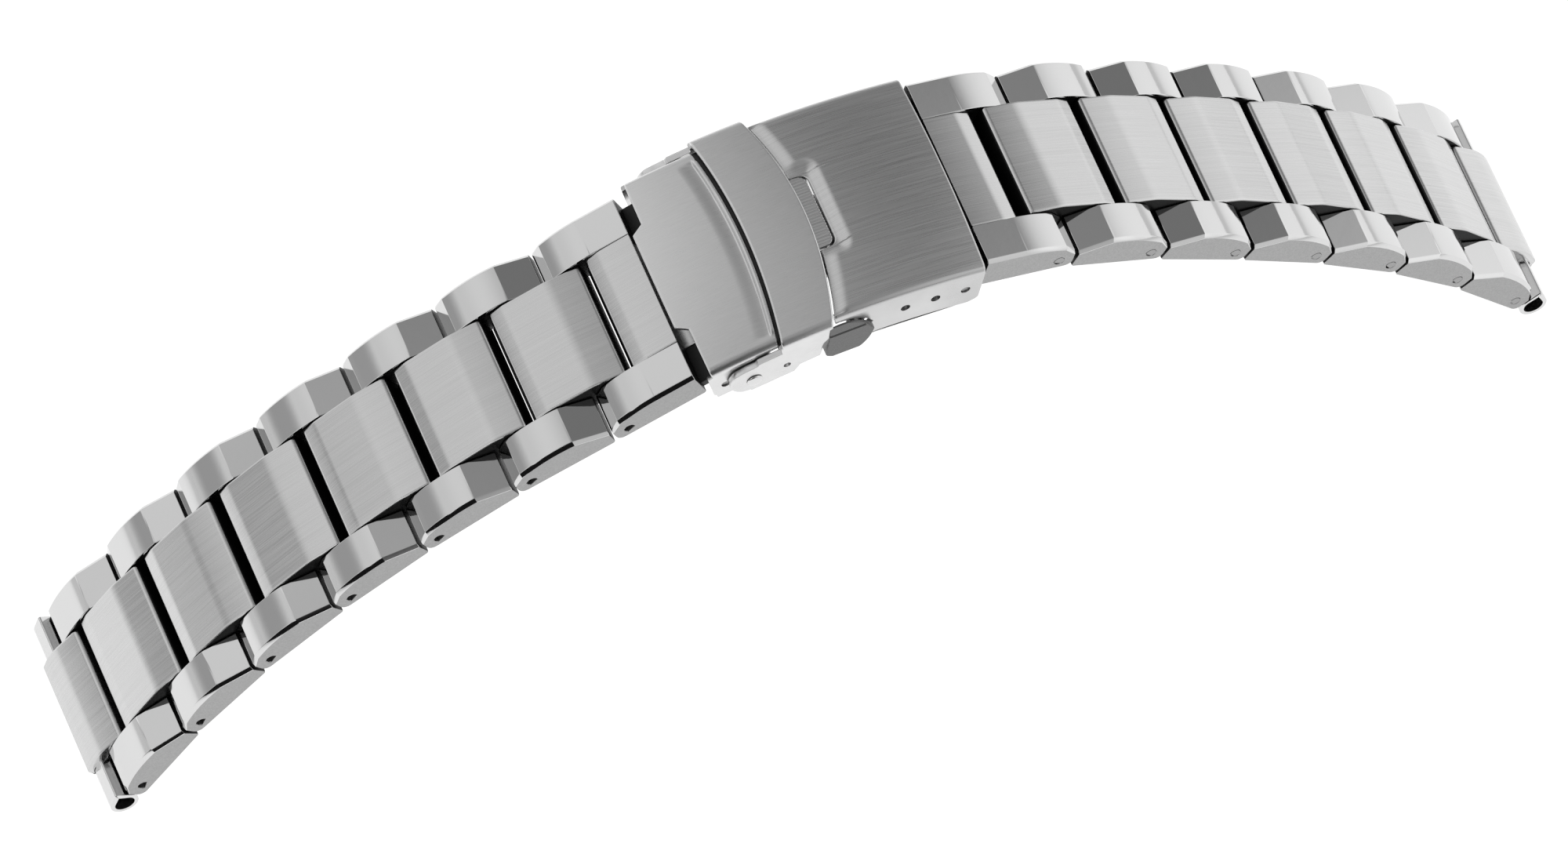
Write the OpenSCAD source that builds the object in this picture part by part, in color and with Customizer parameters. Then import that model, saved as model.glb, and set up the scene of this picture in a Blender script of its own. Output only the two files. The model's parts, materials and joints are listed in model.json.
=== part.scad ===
// Three-row steel watch bracelet with a folding clasp, safety bar and push buttons.
// It stands on its two watch ends as an arch. X runs along the bracelet and Y across it.
// Each strap is laid out from the clasp down. A link's own frame has its origin on its watch-side
// pin, x towards the clasp and z away from the wrist. The clasp's frame has its origin midway
// between the two spring bars, x towards the micro-adjust side and z away from the wrist.

/* [Strap] */
// Width of the strap over both outer rows, for lugs 0.2 wider
strap_w = 19.8; // [18:0.1:22]
// Width of one outer row
outer_w = 4; // [3:0.1:5]
// Distance from one link pin to the next
pitch = 10; // [9.6:0.1:12]
// Thickness of a link at its crown
link_t = 3.6; // [3.3:0.1:4.2]
// Height of the link pins above the underside
pin_h = 1; // [0.9:0.05:1.2]
// Length of an outer link past its pin, on the watch side
nose = 1.45; // [1.3:0.05:1.55]
// Gap between two outer links in line
outer_gap = 0.3; // [0.2:0.05:0.6]
// Gap between two middle links in line
middle_gap = 0.7; // [0.5:0.05:1]
// Length of a middle link past its pin, on the clasp side
middle_tail = 2.2; // [2:0.05:2.6]
// Radius of the rounded lower corner that turns past the next link
heel_r = 0.7; // [0.5:0.05:0.8]
// Width of the bevel between the polished top and the side face
bevel_w = 0.5; // [0.2:0.05:0.8]
// Drop of that bevel
bevel_h = 0.4; // [0.2:0.05:0.6]
// Clearance on each side of a middle link where it turns between two outers
side_play = 0.1; // [0.05:0.01:0.2]

/* [Pins] */
// Diameter of a link pin
pin_d = 0.96; // [0.8:0.02:1.1]
// Radial clearance of a pin in its bore
pin_play = 0.02; // [0.01:0.01:0.06]
// Depth of a pin's head end below the side face
pin_recess = 0.8; // [0.4:0.1:1.5]
// Diameter of the clasp's spring bars
bar_d = 1.5; // [1.3:0.1:1.8]
// Diameter of a spring bar's tips
tip_d = 0.8; // [0.6:0.05:1]

/* [Watch end] */
// Diameter of the bore for the watch's spring bar
lug_bore_d = 1.9; // [1.6:0.1:2.1]
// Thickness of the folded sheet round that bore
tube_wall = 0.4; // [0.3:0.05:0.5]
// Distance from the last pin to the bore, along the link
tube_reach = 2.9; // [2.85:0.05:3.4]
// Height of the bore above the pin line
tube_rise = 0.35; // [0.1:0.05:0.5]
// Reach of the first middle link past the last pin, towards the watch
end_reach = 3.9; // [3.6:0.1:4.6]

/* [Clasp] */
// Distance between the two spring bars of the clasp
clasp_span = 23; // [22.4:0.1:25]
// Radius of the clasp's curve along the wrist
clasp_r = 60; // [56:1:90]
// Width of the cover and the end plate
cover_w = 21.3; // [21.1:0.1:24]
// Thickness of the cover's sheet
cover_t = 0.65; // [0.55:0.05:0.75]
// Height of the safety bar's crown above the cover's spring bar
clasp_crown = 4.85; // [4.7:0.05:5.2]
// Step of the cover below the safety bar
cover_step = 0.2; // [0.1:0.05:0.35]
// Fall of the top from its centre line to its edge
cover_fall = 0.7; // [0.4:0.05:1]
// Radius of the long shoulders
shoulder_r = 0.9; // [0.7:0.05:1.2]
// Depth of the side walls at the middle, below the line through the spring bars
wall_drop = 1.15; // [1.1:0.05:1.4]
// Reach of the cover past its spring bar
cover_tail = 2.4; // [1.8:0.05:2.5]
// Distance between the micro-adjust holes
micro_step = 2.9; // [2.6:0.1:3.1]
// Number of micro-adjust holes
micro_holes = 3; // [1:1:3]

/* [End plate] */
// Thickness of the end plate's sheet
plate_t = 0.6; // [0.5:0.05:0.65]
// Step of the end plate below the cover
plate_step = 0.75; // [0.6:0.05:0.9]
// Height of the end plate's spring bar below the cover's
plate_bar_drop = 0.6; // [0.4:0.05:0.7]
// Reach of the tab past its spring bar
tab_reach = 2.8; // [2.2:0.05:2.85]
// Width of the tab
tab_w = 10.1; // [9:0.1:11]
// Step from the tab back to the shoulders
tab_step = 1.1; // [0.9:0.1:1.2]

/* [Safety bar] */
// Thickness of the safety bar's sheet
bar_t = 0.6; // [0.5:0.05:0.65]
// Place of its left edge at the sides, from the middle of the clasp
bar_left = -6.3; // [-6.4:0.05:-6]
// Width of the band along the sides
band_w = 5; // [4.6:0.1:5.1]
// Bulge of the left edge at its centre
left_bulge = 1.15; // [0.6:0.05:1.4]
// Bulge of the right edge at its centre
right_bulge = 1.9; // [1.4:0.05:2.2]
// Width of the finger tongue
tongue_w = 7.4; // [6:0.1:9]
// Length of the finger tongue
tongue_l = 1.4; // [1:0.1:1.8]
// Clearance between the cheeks or walls and the arms that fold over them
arm_gap = 0.12; // [0.08:0.01:0.15]
// Distance from the spring bar to the rivet, along the clasp
rivet_in = 2.45; // [2.3:0.05:2.6]
// Drop of the rivet below the cover's spring bar
rivet_drop = 0.45; // [0.3:0.05:0.6]
// Running gap between neighbouring pieces of the clasp
clasp_gap = 0.15; // [0.1:0.01:0.2]

/* [Push buttons] */
// Length of a button's lens shape
button_l = 5.9; // [5:0.1:6]
// Height of a button
button_h = 3.6; // [3:0.1:3.7]
// Height of a button's lower rim above its back
button_t = 1.05; // [0.8:0.05:1.2]
// Travel of a button, up to the thickness of the sheet it sinks through
button_travel = 0.6; // [0.4:0.05:0.65]

/* [Folding blades] */
// Distance from the cover's spring bar back to the cover hinge
blade_l = 8.1; // [8:0.05:8.2]
// Thickness of both blades
blade_t = 0.55; // [0.4:0.05:0.6]
// Width of the inner blade
inner_w = 8; // [7:0.1:9]
// Diameter of the fold pin and the hinge stubs
fold_d = 0.84; // [0.7:0.02:0.9]
// Radial clearance of the fold pins
fold_play = 0.03; // [0.01:0.01:0.06]

/* [Rest pose] */
// Slope of the clasp on the table
clasp_slope = 2.9; // [2:0.1:4]

/* [Hidden] */
$fn = 64;
// Slopes of the links from the watch end to the clasp, and of the two watch ends
left_slopes = [54, 46, 38, 32, 26.5, 20.5, 21];
right_slopes = [53, 47, 41.5, 36.5, 34, 26.5, 13.4];
left_end_slope = 58;
right_end_slope = 56;
links = len(left_slopes);
sides = ["left", "right"];

// Heights in a link's frame
sole = -pin_h;
crown = link_t - pin_h;
middle_w = strap_w - 2 * outer_w;
// Reach of the end link's pin line to its spring bar, and where its flush end face stands
knuckle_at = pitch - 0.4;
end_face = 2;

// Places in the clasp's frame
left_bar_x = -clasp_span / 2;
right_bar_x = clasp_span / 2;
left_bar_z = -plate_bar_drop;
cover_top = clasp_crown - cover_step;
plate_w = cover_w;
bar_w = cover_w + 2 * (arm_gap + bar_t);
rivet_x = left_bar_x + rivet_in;
// Everything in the clasp curves about one axis below it. Radius of the lower edges of the walls,
// and the height of those edges at a place along the clasp.
axis_z = clasp_crown - clasp_r;
foot_r = clasp_r - clasp_crown - wall_drop;
function foot_z(x) = axis_z + sqrt(foot_r * foot_r - x * x);
hinge_x = right_bar_x - blade_l;
hinge_z = foot_z(hinge_x) + 0.9;
fold_z = foot_z(right_bar_x) + 0.6;
bar_right = bar_left + band_w;
band_tip = bar_right + right_bulge;
tongue_tip = band_tip + tongue_l;
left_edge_r = (pow(bar_w / 2, 2) + pow(left_bulge, 2)) / (2 * left_bulge);
right_edge_r = (pow(bar_w / 2, 2) + pow(right_bulge, 2)) / (2 * right_bulge);
button_x = -0.45;
button_z = 0.85;
button_back = cover_w / 2 + 0.1;
stem_x = button_x + 1.8;
stem_d = 1.2;

// Turns a point [x, z] about Y by a slope
function turn(p, a) = [p[0] * cos(a) - p[1] * sin(a), p[0] * sin(a) + p[1] * cos(a)];

// Each strap in its own plane, whose first coordinate points at the clasp. The right strap is the
// left one turned half round Z, so its first coordinate is minus X.
function slopes(side) = side == "left" ? left_slopes : right_slopes;
function end_slope(side) = side == "left" ? left_end_slope : right_end_slope;
function anchor(side) = side == "left" ? turn([left_bar_x, left_bar_z], clasp_slope)
                                       : turn([-right_bar_x, 0], -clasp_slope);
function reach(i) = i == links ? knuckle_at : pitch;
// Pin i of a strap, counted from the watch end; number links + 1 is the clasp's spring bar
function pin_at(side, i) = i > links ? anchor(side)
    : pin_at(side, i + 1) - turn([reach(i), 0], slopes(side)[i - 1]);
function tube_at(side) = pin_at(side, 1) + turn([-tube_reach, tube_rise], end_slope(side));

// The whole is turned until both watch ends touch the table, and lifted on to it
tube_r = lug_bore_d / 2 + tube_wall;
left_tube = tube_at("left");
right_tube = [-tube_at("right")[0], tube_at("right")[1]];
level = -atan2(right_tube[1] - left_tube[1], right_tube[0] - left_tube[0]);
settled_left = turn(left_tube, level);
settled_right = turn(right_tube, level);
shift_x = -(settled_left[0] + settled_right[0]) / 2;
shift_z = tube_r - settled_left[1];

module settled() {
    translate([shift_x, 0, shift_z]) rotate([0, -level, 0]) children();
}

// Puts a child from link i's frame, or the watch end's when i is 0, in its place
module on_strap(side, i) {
    at = i == 0 ? pin_at(side, 1) : pin_at(side, i);
    slope = i == 0 ? end_slope(side) : slopes(side)[i - 1];
    settled() rotate([0, 0, side == "left" ? 0 : 180])
        translate([at[0], 0, at[1]]) rotate([0, -slope, 0]) children();
}

module on_clasp() {
    settled() rotate([0, -clasp_slope, 0]) children();
}

// Extrudes a side outline, drawn as [x, z], between two places across the strap
module across(y0, y1) {
    translate([0, y1, 0]) rotate([90, 0, 0]) linear_extrude(y1 - y0) children();
}

// A cylinder across the strap, between two places
module rod(d, x, z, y0, y1) {
    translate([x, y1, z]) rotate([90, 0, 0]) cylinder(h = y1 - y0, d = d);
}

function arc_points(x, z, r, a0, a1, steps) =
    [for (k = [0:steps]) [x + r * cos(a0 + (a1 - a0) * k / steps), z + r * sin(a0 + (a1 - a0) * k / steps)]];

// Side outline of an outer link: a steep facet at the watch end, the long crown and the end facet
outer_end = pitch - nose - outer_gap;
module outer_outline(end_x, flush) {
    top = flush ? [[end_x, crown]] : [[pitch * 0.52, crown + 0.01], [end_x, crown - 1.6]];
    polygon(concat(
        arc_points(-nose + heel_r, sole + heel_r, heel_r, 270, 180, 6),
        [[-nose, crown - 1.7], [-nose + 1.05, crown - 0.7], [pitch * 0.15, crown + 0.1]],
        top,
        [[end_x, sole + 0.35], [end_x - 0.35, sole]]
    ));
}

// Disc whose rim is the arch of the side face, with a bevelled edge towards +Y
arch_x = pitch * 0.37;
arch_r = 12;
module bevelled_arch(w) {
    translate([arch_x, 0, crown - arch_r]) rotate([-90, 0, 0]) rotate_extrude()
        polygon([[0, 0], [arch_r - bevel_h / 2, 0], [arch_r, bevel_w / 2], [arch_r, w - bevel_w],
                 [arch_r - bevel_h, w], [0, w]]);
}

// One outer link, from its inner face at y = 0 to the side face
module outer_link(end_x, flush) {
    difference() {
        intersection() {
            across(0, outer_w) outer_outline(end_x, flush);
            union() {
                bevelled_arch(outer_w);
                if (flush) translate([arch_x, 0, 0]) rotate([90, 0, 90]) linear_extrude(pitch)
                    polygon([[0, sole], [0, crown], [outer_w - bevel_w, crown],
                             [outer_w, crown - bevel_h], [outer_w, sole]]);
            }
        }
        rod(pin_d + 2 * pin_play, 0, 0, -1, outer_w + 1);
    }
}

// Both outers of link i
module outers(side, i) {
    flush = i == links;
    end_x = flush ? knuckle_at - end_face : outer_end;
    color("gainsboro") on_strap(side, i) for (m = [0, 1]) mirror([0, m, 0])
        translate([0, middle_w / 2, 0]) outer_link(end_x, flush);
}

// A middle link lies on the clasp side of the pin of the link below it, and ends past the next pin.
// Drawn in the frame of the link that carries it, from x0 to x1.
middle_start = middle_tail + middle_gap;
soft_r = 0.5;
module middle_outline(x0, x1, flush) {
    top = flush ? [[x1, crown]]
        : concat([[x1 - 2.9, crown - 0.07]], arc_points(x1 - soft_r, crown - 0.35 - soft_r, soft_r, 75, 0, 4));
    polygon(concat(
        [[x0 + 0.3, sole], [x0, sole + 0.3]],
        arc_points(x0 + soft_r, crown - 0.3 - soft_r, soft_r, 180, 110, 4),
        [[x0 + 1.6, crown - 0.05], [(x0 + x1) / 2 - 0.4, crown]],
        top,
        [[x1, sole + 0.3], [x1 - 0.3, sole]]
    ));
}

// Middle link i + 1, carried between the outers of link i; its far half turns on pin i + 1
module middle(side, i) {
    next = pitch;
    color("silver") on_strap(side, i) difference() {
        union() {
            across(-middle_w / 2 + side_play, middle_w / 2 - side_play)
                middle_outline(middle_start, next + middle_tail, false);
            across(-middle_w / 2, middle_w / 2) intersection() {
                middle_outline(middle_start, next + middle_tail, false);
                translate([0, -link_t]) square([outer_end, 2 * link_t]);
            }
        }
        rod(pin_d + 2 * pin_play, next, 0, -middle_w, middle_w);
    }
}

// The end link's middle stops flush with its outers, and a neck carries the spring bar's knuckle
knuckle_r = bar_d / 2 + 0.3;
module end_middle(side) {
    face = knuckle_at - end_face;
    color("silver") on_strap(side, links) difference() {
        union() {
            across(-middle_w / 2, middle_w / 2) middle_outline(middle_start, face, true);
            across(-middle_w / 2 + side_play, middle_w / 2 - side_play) union() {
                translate([face - 1, sole / 2]) square([end_face + 1, knuckle_r - sole / 2 - 0.65]);
                translate([knuckle_at, 0]) circle(knuckle_r);
            }
        }
        rod(bar_d + 2 * fold_play, knuckle_at, 0, -middle_w, middle_w);
    }
}

// Pin i: flush with one side face and sunk below the other
module link_pin(side, i) {
    color("dimgray") on_strap(side, i)
        rod(pin_d, 0, 0, -strap_w / 2 + pin_recess, strap_w / 2);
}

// Outline of the folded sheet at the watch end: round below, drawn up to a lip
lip_turn = 54;
module folded_sheet(r, lip) {
    translate([-tube_reach, tube_rise]) rotate(lip_turn) {
        circle(r);
        polygon([[0, -r], [lip, -0.12], [lip, 0.12], [0, r]]);
    }
}

module end_tube(side) {
    color("gainsboro") on_strap(side, 0) difference() {
        across(-strap_w / 2, strap_w / 2) folded_sheet(tube_r, tube_r + 0.75);
        rod(lug_bore_d, -tube_reach, tube_rise, -strap_w, strap_w);
        across(-strap_w, strap_w) translate([-tube_reach, tube_rise]) rotate(lip_turn)
            polygon([[0, -0.3], [tube_r + 0.35, -0.04], [tube_r + 0.35, 0.04], [0, 0.3]]);
    }
}

// The first middle link is short and rides on the folded sheet
module first_middle(side) {
    brow = 0.9;
    color("silver") on_strap(side, 0) difference() {
        across(-middle_w / 2 + side_play, middle_w / 2 - side_play) difference() {
            intersection() {
                middle_outline(-end_reach, middle_tail, false);
                union() {
                    translate([-tube_reach + 0.3, -link_t]) square([2 * pitch, 2 * link_t]);
                    translate([-end_reach, brow]) square([2 * pitch, link_t]);
                }
            }
            folded_sheet(tube_r, tube_r + 0.75);
        }
        rod(pin_d + 2 * pin_play, 0, 0, -middle_w, middle_w);
    }
}

// Cross-section of a crowned sheet, drawn as [distance from the clasp's curve axis, y]
function crowned(w, top, fall, round_r, foot) =
    let (half = w / 2, edge = half - round_r, r = clasp_r + top - clasp_crown)
    concat(
        [[clasp_r + foot - clasp_crown, half], [r - fall - round_r, half]],
        [for (a = [22.5:22.5:67.5]) [r - fall - round_r * (1 - sin(a)), edge + round_r * cos(a)]],
        [for (k = [4:-1:-4]) [r - fall * pow(k / 4, 2), edge * k / 4]],
        [for (a = [67.5:-22.5:22.5]) [r - fall - round_r * (1 - sin(a)), -edge - round_r * cos(a)]],
        [[r - fall - round_r, -half], [clasp_r + foot - clasp_crown, -half]]
    );

// Sweeps such a section along the clasp's curve, between two places along the clasp
module arched(x0, x1) {
    a0 = asin(x0 / clasp_r);
    a1 = asin(x1 / clasp_r);
    translate([0, 0, axis_z]) rotate([90, 0, 0]) rotate([0, 0, 90 - a1])
        rotate_extrude(angle = a1 - a0, $fn = 360) children();
}

// A strip of sheet that follows the curve, from a height above the walls' lower edges
module strip(x0, x1, y0, y1, low, t) {
    grown = clasp_r / (foot_r + low);
    arched(x0 * grown, x1 * grown) polygon([[foot_r + low, y0], [foot_r + low + t, y0],
                                            [foot_r + low + t, y1], [foot_r + low, y1]]);
}

// A crowned sheet with folded sides: the outer form less the space inside its wall
deep = -8;
module sheet_form(x0, x1, w, top, t, foot = deep) {
    difference() {
        arched(x0, x1) polygon(crowned(w, top, cover_fall, shoulder_r, foot));
        arched(x0 - 1, x1 + 1) polygon(crowned(w - 2 * t, top - t, cover_fall, shoulder_r - t / 2, deep - 1));
    }
}

// Upright cylinder that cuts a bulged edge: its rim passes through x at the centre line
tall = 2 * cover_w;
module edge_cutter(x, r) {
    translate([x - r, 0, -tall / 2]) cylinder(h = tall, r = r, $fn = 180);
}

// Lens outline of the push buttons, as [x, z], grown by a clearance
module lens(grow) {
    r = (pow(button_l / 2, 2) + pow(button_h / 2, 2)) / button_h;
    translate([button_x, button_z]) intersection() {
        translate([0, button_h / 2 - r]) circle(r + grow);
        translate([0, r - button_h / 2]) circle(r + grow);
    }
}

// Outline of a push button: the lens without its left tip, which would meet the safety bar's side
// when the cover lifts off the bar
module pad_outline(grow) {
    intersection() {
        lens(grow);
        translate([bar_right, button_z]) polygon([[-0.1, 2.2], [-0.3, 1.1], [-0.6, 0.05], [-1.3, -2.1],
                                                  [tall, -2.1], [tall, 2.2]]);
    }
}

// Cover
notch_w = tongue_w + 2 * clasp_gap;
notch_x = tongue_tip + clasp_gap;
recess_rim = 1.1;
recess_depth = 0.7;
bracket_t = 0.5;
bracket_y = cover_w / 2 - button_travel - bracket_t - 0.5;
// Rounds off the lower corner at the open end
module cover_corner() {
    r = 1.9;
    difference() {
        translate([right_bar_x - 0.1, -tall / 4]) square([tall / 4, tall / 4 - 0.6]);
        translate([right_bar_x - 0.1, -0.6]) circle(r);
    }
}

module cover() {
    color("silver") on_clasp() difference() {
        union() {
            sheet_form(bar_right - 0.6, right_bar_x + cover_tail, cover_w, cover_top, cover_t, -wall_drop);
            // Guide brackets of the push buttons, folded in from the walls
            for (m = [0, 1]) mirror([0, m, 0]) {
                across(bracket_y, bracket_y + bracket_t)
                    translate([stem_x - 0.9, button_z - 1.1]) square([2.2, 2.2]);
                across(bracket_y, cover_w / 2 - cover_t / 2)
                    translate([stem_x + 1.2, button_z - 1.1]) square([0.6, 2.2]);
            }
        }
        across(-cover_w, cover_w) cover_corner();
        edge_cutter(band_tip + clasp_gap, right_edge_r + clasp_gap);
        translate([0, -notch_w / 2, 0]) cube([notch_x, notch_w, tall / 4]);
        recess();
        for (k = [0:micro_holes - 1]) rod(tip_d + 0.1, hole_at(k)[0], hole_at(k)[1], -cover_w, cover_w);
        for (m = [0, 1]) mirror([0, m, 0]) {
            across(bracket_y + bracket_t + 0.1, cover_w) lens(clasp_gap);
            rod(stem_d + 0.1, stem_x, button_z, 0, cover_w);
            rod(fold_d, hinge_x, hinge_z, 0, cover_w / 2 - 0.3);
        }
    }
}

// The micro-adjust holes lie on the clasp's curve
hole_r = sqrt(right_bar_x * right_bar_x + axis_z * axis_z);
function hole_at(k) = let (a = asin(right_bar_x / hole_r) - k * micro_step / hole_r * 180 / PI)
    [hole_r * sin(a), axis_z + hole_r * cos(a)];

// Pressed recess round the finger tongue
recess_floor = 0.4;
module recess() {
    w = notch_w + 2 * recess_rim;
    r = clasp_r - cover_step - recess_floor;
    arched(0.1, notch_x + recess_rim)
        polygon([[r, -w / 2], [r + 2, -w / 2 - 1.2], [r + 2, w / 2 + 1.2], [r, w / 2]]);
}

// Safety bar: one folded sheet, whose sides reach back as arms to the rivets
arm_r = 1.85;
arm_top = 2.3;
module bar_sides() {
    foot_x = button_x - button_l / 2 + 0.4;
    end_x = rivet_x - 0.45;
    end_z = 0.25 - rivet_drop;
    high = tall / 4;
    translate([end_x, end_z]) circle(arm_r);
    polygon([[end_x, end_z - arm_r], [rivet_x + 2, end_z - arm_r + 0.1], [foot_x - 2.2, end_z - arm_r + 0.5],
             [foot_x - 1.6, end_z - arm_r + 1.4], [foot_x, end_z - arm_r + 1.6], [band_tip + 3, end_z - 0.2],
             [band_tip + 3, high], [bar_left - 0.3, high],
             [bar_left - 0.3, arm_top], [rivet_x + 0.9, arm_top], [rivet_x + 0.3, end_z + arm_r - 0.3],
             [end_x, end_z + arm_r - 0.05]]);
}

// Open side of the safety bar's wall, whose edge runs down beside the push button
module bar_opening() {
    translate([bar_right, button_z]) polygon([[-1.5, -1.9], [-1.05, 0.25], [-0.95, 0.55], [-0.45, 1.1],
                                              [-0.15, 3.25], [tall, 3.25], [tall, -1.9]]);
}

module safety_bar() {
    plate_side = bar_w / 2 - bar_t;
    step_half = tongue_w / 2 - 0.2;
    color("lightgray") on_clasp() difference() {
        union() {
            difference() {
                intersection() {
                    sheet_form(rivet_x - 4, band_tip + 1, bar_w, clasp_crown, bar_t);
                    across(-bar_w, bar_w) bar_sides();
                    edge_cutter(band_tip, right_edge_r);
                }
                intersection() {
                    edge_cutter(bar_left + left_bulge, left_edge_r);
                    translate([-tall, -tall / 2, arm_top]) cube([2 * tall, tall, tall / 2]);
                }
            }
            // Finger tongue, one step below the band
            arched(band_tip - 1.2, tongue_tip) polygon([
                [clasp_r - recess_depth - bar_t, -tongue_w / 2], [clasp_r - recess_depth, -tongue_w / 2],
                [clasp_r - recess_depth, tongue_w / 2], [clasp_r - recess_depth - bar_t, tongue_w / 2]]);
            // The sheet steps down to the tongue under the band's edge
            arched(band_tip - 1.5, band_tip - 0.8) polygon([
                [clasp_r - recess_depth - bar_t / 2, -step_half], [clasp_r - bar_t / 2, -step_half],
                [clasp_r - bar_t / 2, step_half], [clasp_r - recess_depth - bar_t / 2, step_half]]);
        }
        for (m = [0, 1]) mirror([0, m, 0]) {
            across(plate_side - 0.2, bar_w) bar_opening();
            rod(rivet_d + 2 * fold_play, rivet_x, -rivet_drop, plate_side - 1, bar_w);
            rod(0.7, bar_left + 0.4, 0.05, plate_side - 1, bar_w);
        }
    }
}

// End plate
plate_top = clasp_crown - plate_step;
module plate_outline() {
    half = tab_w / 2;
    tab = left_bar_x - tab_reach;
    back = tab + tab_step;
    polygon([[tab, -half], [tab, half], [back, half + 0.7], [back, cover_w],
             [0, cover_w], [0, -cover_w], [back, -cover_w], [back, -half - 0.7]]);
}

module plate_sides() {
    back = left_bar_x - tab_reach;
    cheek = back + tab_step;
    low = left_bar_z - 1.65;
    high = tall / 4;
    polygon([[back - 1, 0.9], [cheek + 0.1, 0.9], [cheek + 0.5, low + 0.3], [cheek + 0.8, low],
             [bar_left - 1.5, low], [bar_left, low + 1.5], [bar_left + 2, low + 1.5],
             [bar_left + 2, high], [back - 1, high]]);
}

lip_w = 0.35;
lip_h = 0.4;
tip_r = clasp_r - plate_step - plate_t - 0.06;
module end_plate() {
    color("lightgray") on_clasp() difference() {
        union() {
            intersection() {
                sheet_form(left_bar_x - tab_reach - 0.5, 0, plate_w, plate_top, plate_t);
                across(-cover_w, cover_w) plate_sides();
                translate([0, 0, -10]) linear_extrude(20) plate_outline();
                edge_cutter(bar_left + left_bulge - 0.75, left_edge_r);
            }
            // Raised lip along the bulged edge
            intersection() {
                sheet_form(left_bar_x, 0, plate_w, plate_top + lip_h, plate_t + lip_h - 0.1);
                translate([left_bar_x, -plate_w / 2 + 1.2, 0]) cube([clasp_span, plate_w - 2.4, tall / 4]);
                difference() {
                    edge_cutter(bar_left + left_bulge - 0.75, left_edge_r);
                    edge_cutter(bar_left + left_bulge - 0.75 - lip_w, left_edge_r);
                }
            }
        }
        // The tab's underside is flat at its tip, so that the end link can turn up to it
        arched(left_bar_x - tab_reach - 0.6, left_bar_x - tab_reach + 0.6) polygon([
            [tip_r - 1, -tab_w], [tip_r, -tab_w], [tip_r, tab_w], [tip_r - 1, tab_w]]);
        for (m = [0, 1]) mirror([0, m, 0]) {
            rod(tip_d + 0.1, left_bar_x, left_bar_z, 0, cover_w);
            rod(rivet_d, rivet_x, -rivet_drop, 0, cover_w);
        }
    }
}

// Rivets: a shank through cheek and arm, a domed head outside and a flat one inside
rivet_d = 1;
head_d = 1.5;
head_y = bar_w / 2 + 0.06;
module rivets() {
    flat = 0.25;
    color("silver") on_clasp() for (m = [0, 1]) mirror([0, m, 0]) {
        rod(rivet_d, rivet_x, -rivet_drop, plate_w / 2 - plate_t - flat, head_y);
        rod(head_d, rivet_x, -rivet_drop, plate_w / 2 - plate_t - flat, plate_w / 2 - plate_t);
        translate([rivet_x, head_y, -rivet_drop]) rotate([-90, 0, 0]) intersection() {
            translate([0, 0, -0.5]) sphere(r = sqrt(pow(head_d / 2, 2) + 0.25));
            cylinder(h = 1, d = head_d);
        }
    }
}

// Spring bars of the clasp
module spring_bar(x, z, sheet) {
    body_y = cover_w / 2 - sheet - 0.1;
    tip_y = cover_w / 2 - 0.15;
    color("dimgray") on_clasp() {
        rod(bar_d, x, z, -body_y, body_y);
        rod(tip_d, x, z, -tip_y, tip_y);
    }
}

// Blades. Both follow the clasp's curve, and the inner one lies in the window of the outer one.
window_w = inner_w + 2 * 0.25;
rail_y = bracket_y - 0.1;
barrel_r = fold_d / 2 + 0.25;
module outer_blade() {
    lug_r = barrel_r + 0.05;
    fold_lug = 1.6;
    color("darkgray") on_clasp() difference() {
        union() {
            for (m = [0, 1]) mirror([0, m, 0]) {
                strip(hinge_x, right_bar_x, window_w / 2, rail_y, 0, blade_t);
                rod(2 * lug_r, hinge_x, hinge_z, rail_y - 1.5, rail_y);
                rod(2 * barrel_r, right_bar_x, fold_z, window_w / 2, window_w / 2 + fold_lug);
            }
            // Bridge over the inner blade
            strip(hinge_x + 2.2, hinge_x + 3.8, -window_w / 2 - 1, window_w / 2 + 1, blade_t / 2, 1.2 * blade_t);
        }
        rod(fold_d + 2 * fold_play, hinge_x, hinge_z, -rail_y - 1, rail_y + 1);
        rod(fold_d + 2 * fold_play, right_bar_x, fold_z, -rail_y, rail_y);
        // The rails stop short of the fold lugs' turning circle
        for (m = [0, 1]) mirror([0, m, 0]) across(window_w / 2 + fold_lug, rail_y + 1)
            translate([right_bar_x - 1.2, fold_z - 2]) square([3, 4]);
        strip(hinge_x, right_bar_x, -window_w / 2 - 0.01, window_w / 2 + 0.01, -0.5, blade_t + 0.58);
    }
}

riser_x = bar_left - 1;
riser_t = 0.6;
module inner_blade() {
    half = inner_w / 2;
    color("darkgray") on_clasp() difference() {
        union() {
            strip(riser_x, right_bar_x, -half, half, 0, blade_t);
            rod(2 * barrel_r, right_bar_x, fold_z, -half, half);
            // Riser up to the underside of the end plate
            intersection() {
                across(-half, half) translate([riser_x, foot_z(riser_x) + 0.15]) square([riser_t, tall / 4]);
                arched(riser_x - 2, riser_x + 2)
                    polygon(crowned(plate_w - 2 * plate_t, plate_top - plate_t, cover_fall,
                                    shoulder_r - plate_t / 2, deep));
            }
        }
        rod(fold_d, right_bar_x, fold_z, -inner_w, inner_w);
    }
}

// Fold pin, held in the inner blade's barrel, and the two stubs that hold the outer blade
module fold_pin() {
    color("dimgray") on_clasp() rod(fold_d, right_bar_x, fold_z, -window_w / 2 - 1.5, window_w / 2 + 1.5);
}

module hinge_stubs() {
    color("dimgray") on_clasp() for (m = [0, 1]) mirror([0, m, 0])
        rod(fold_d, hinge_x, hinge_z, rail_y - 1.4, cover_w / 2 - 0.3);
}

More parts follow.
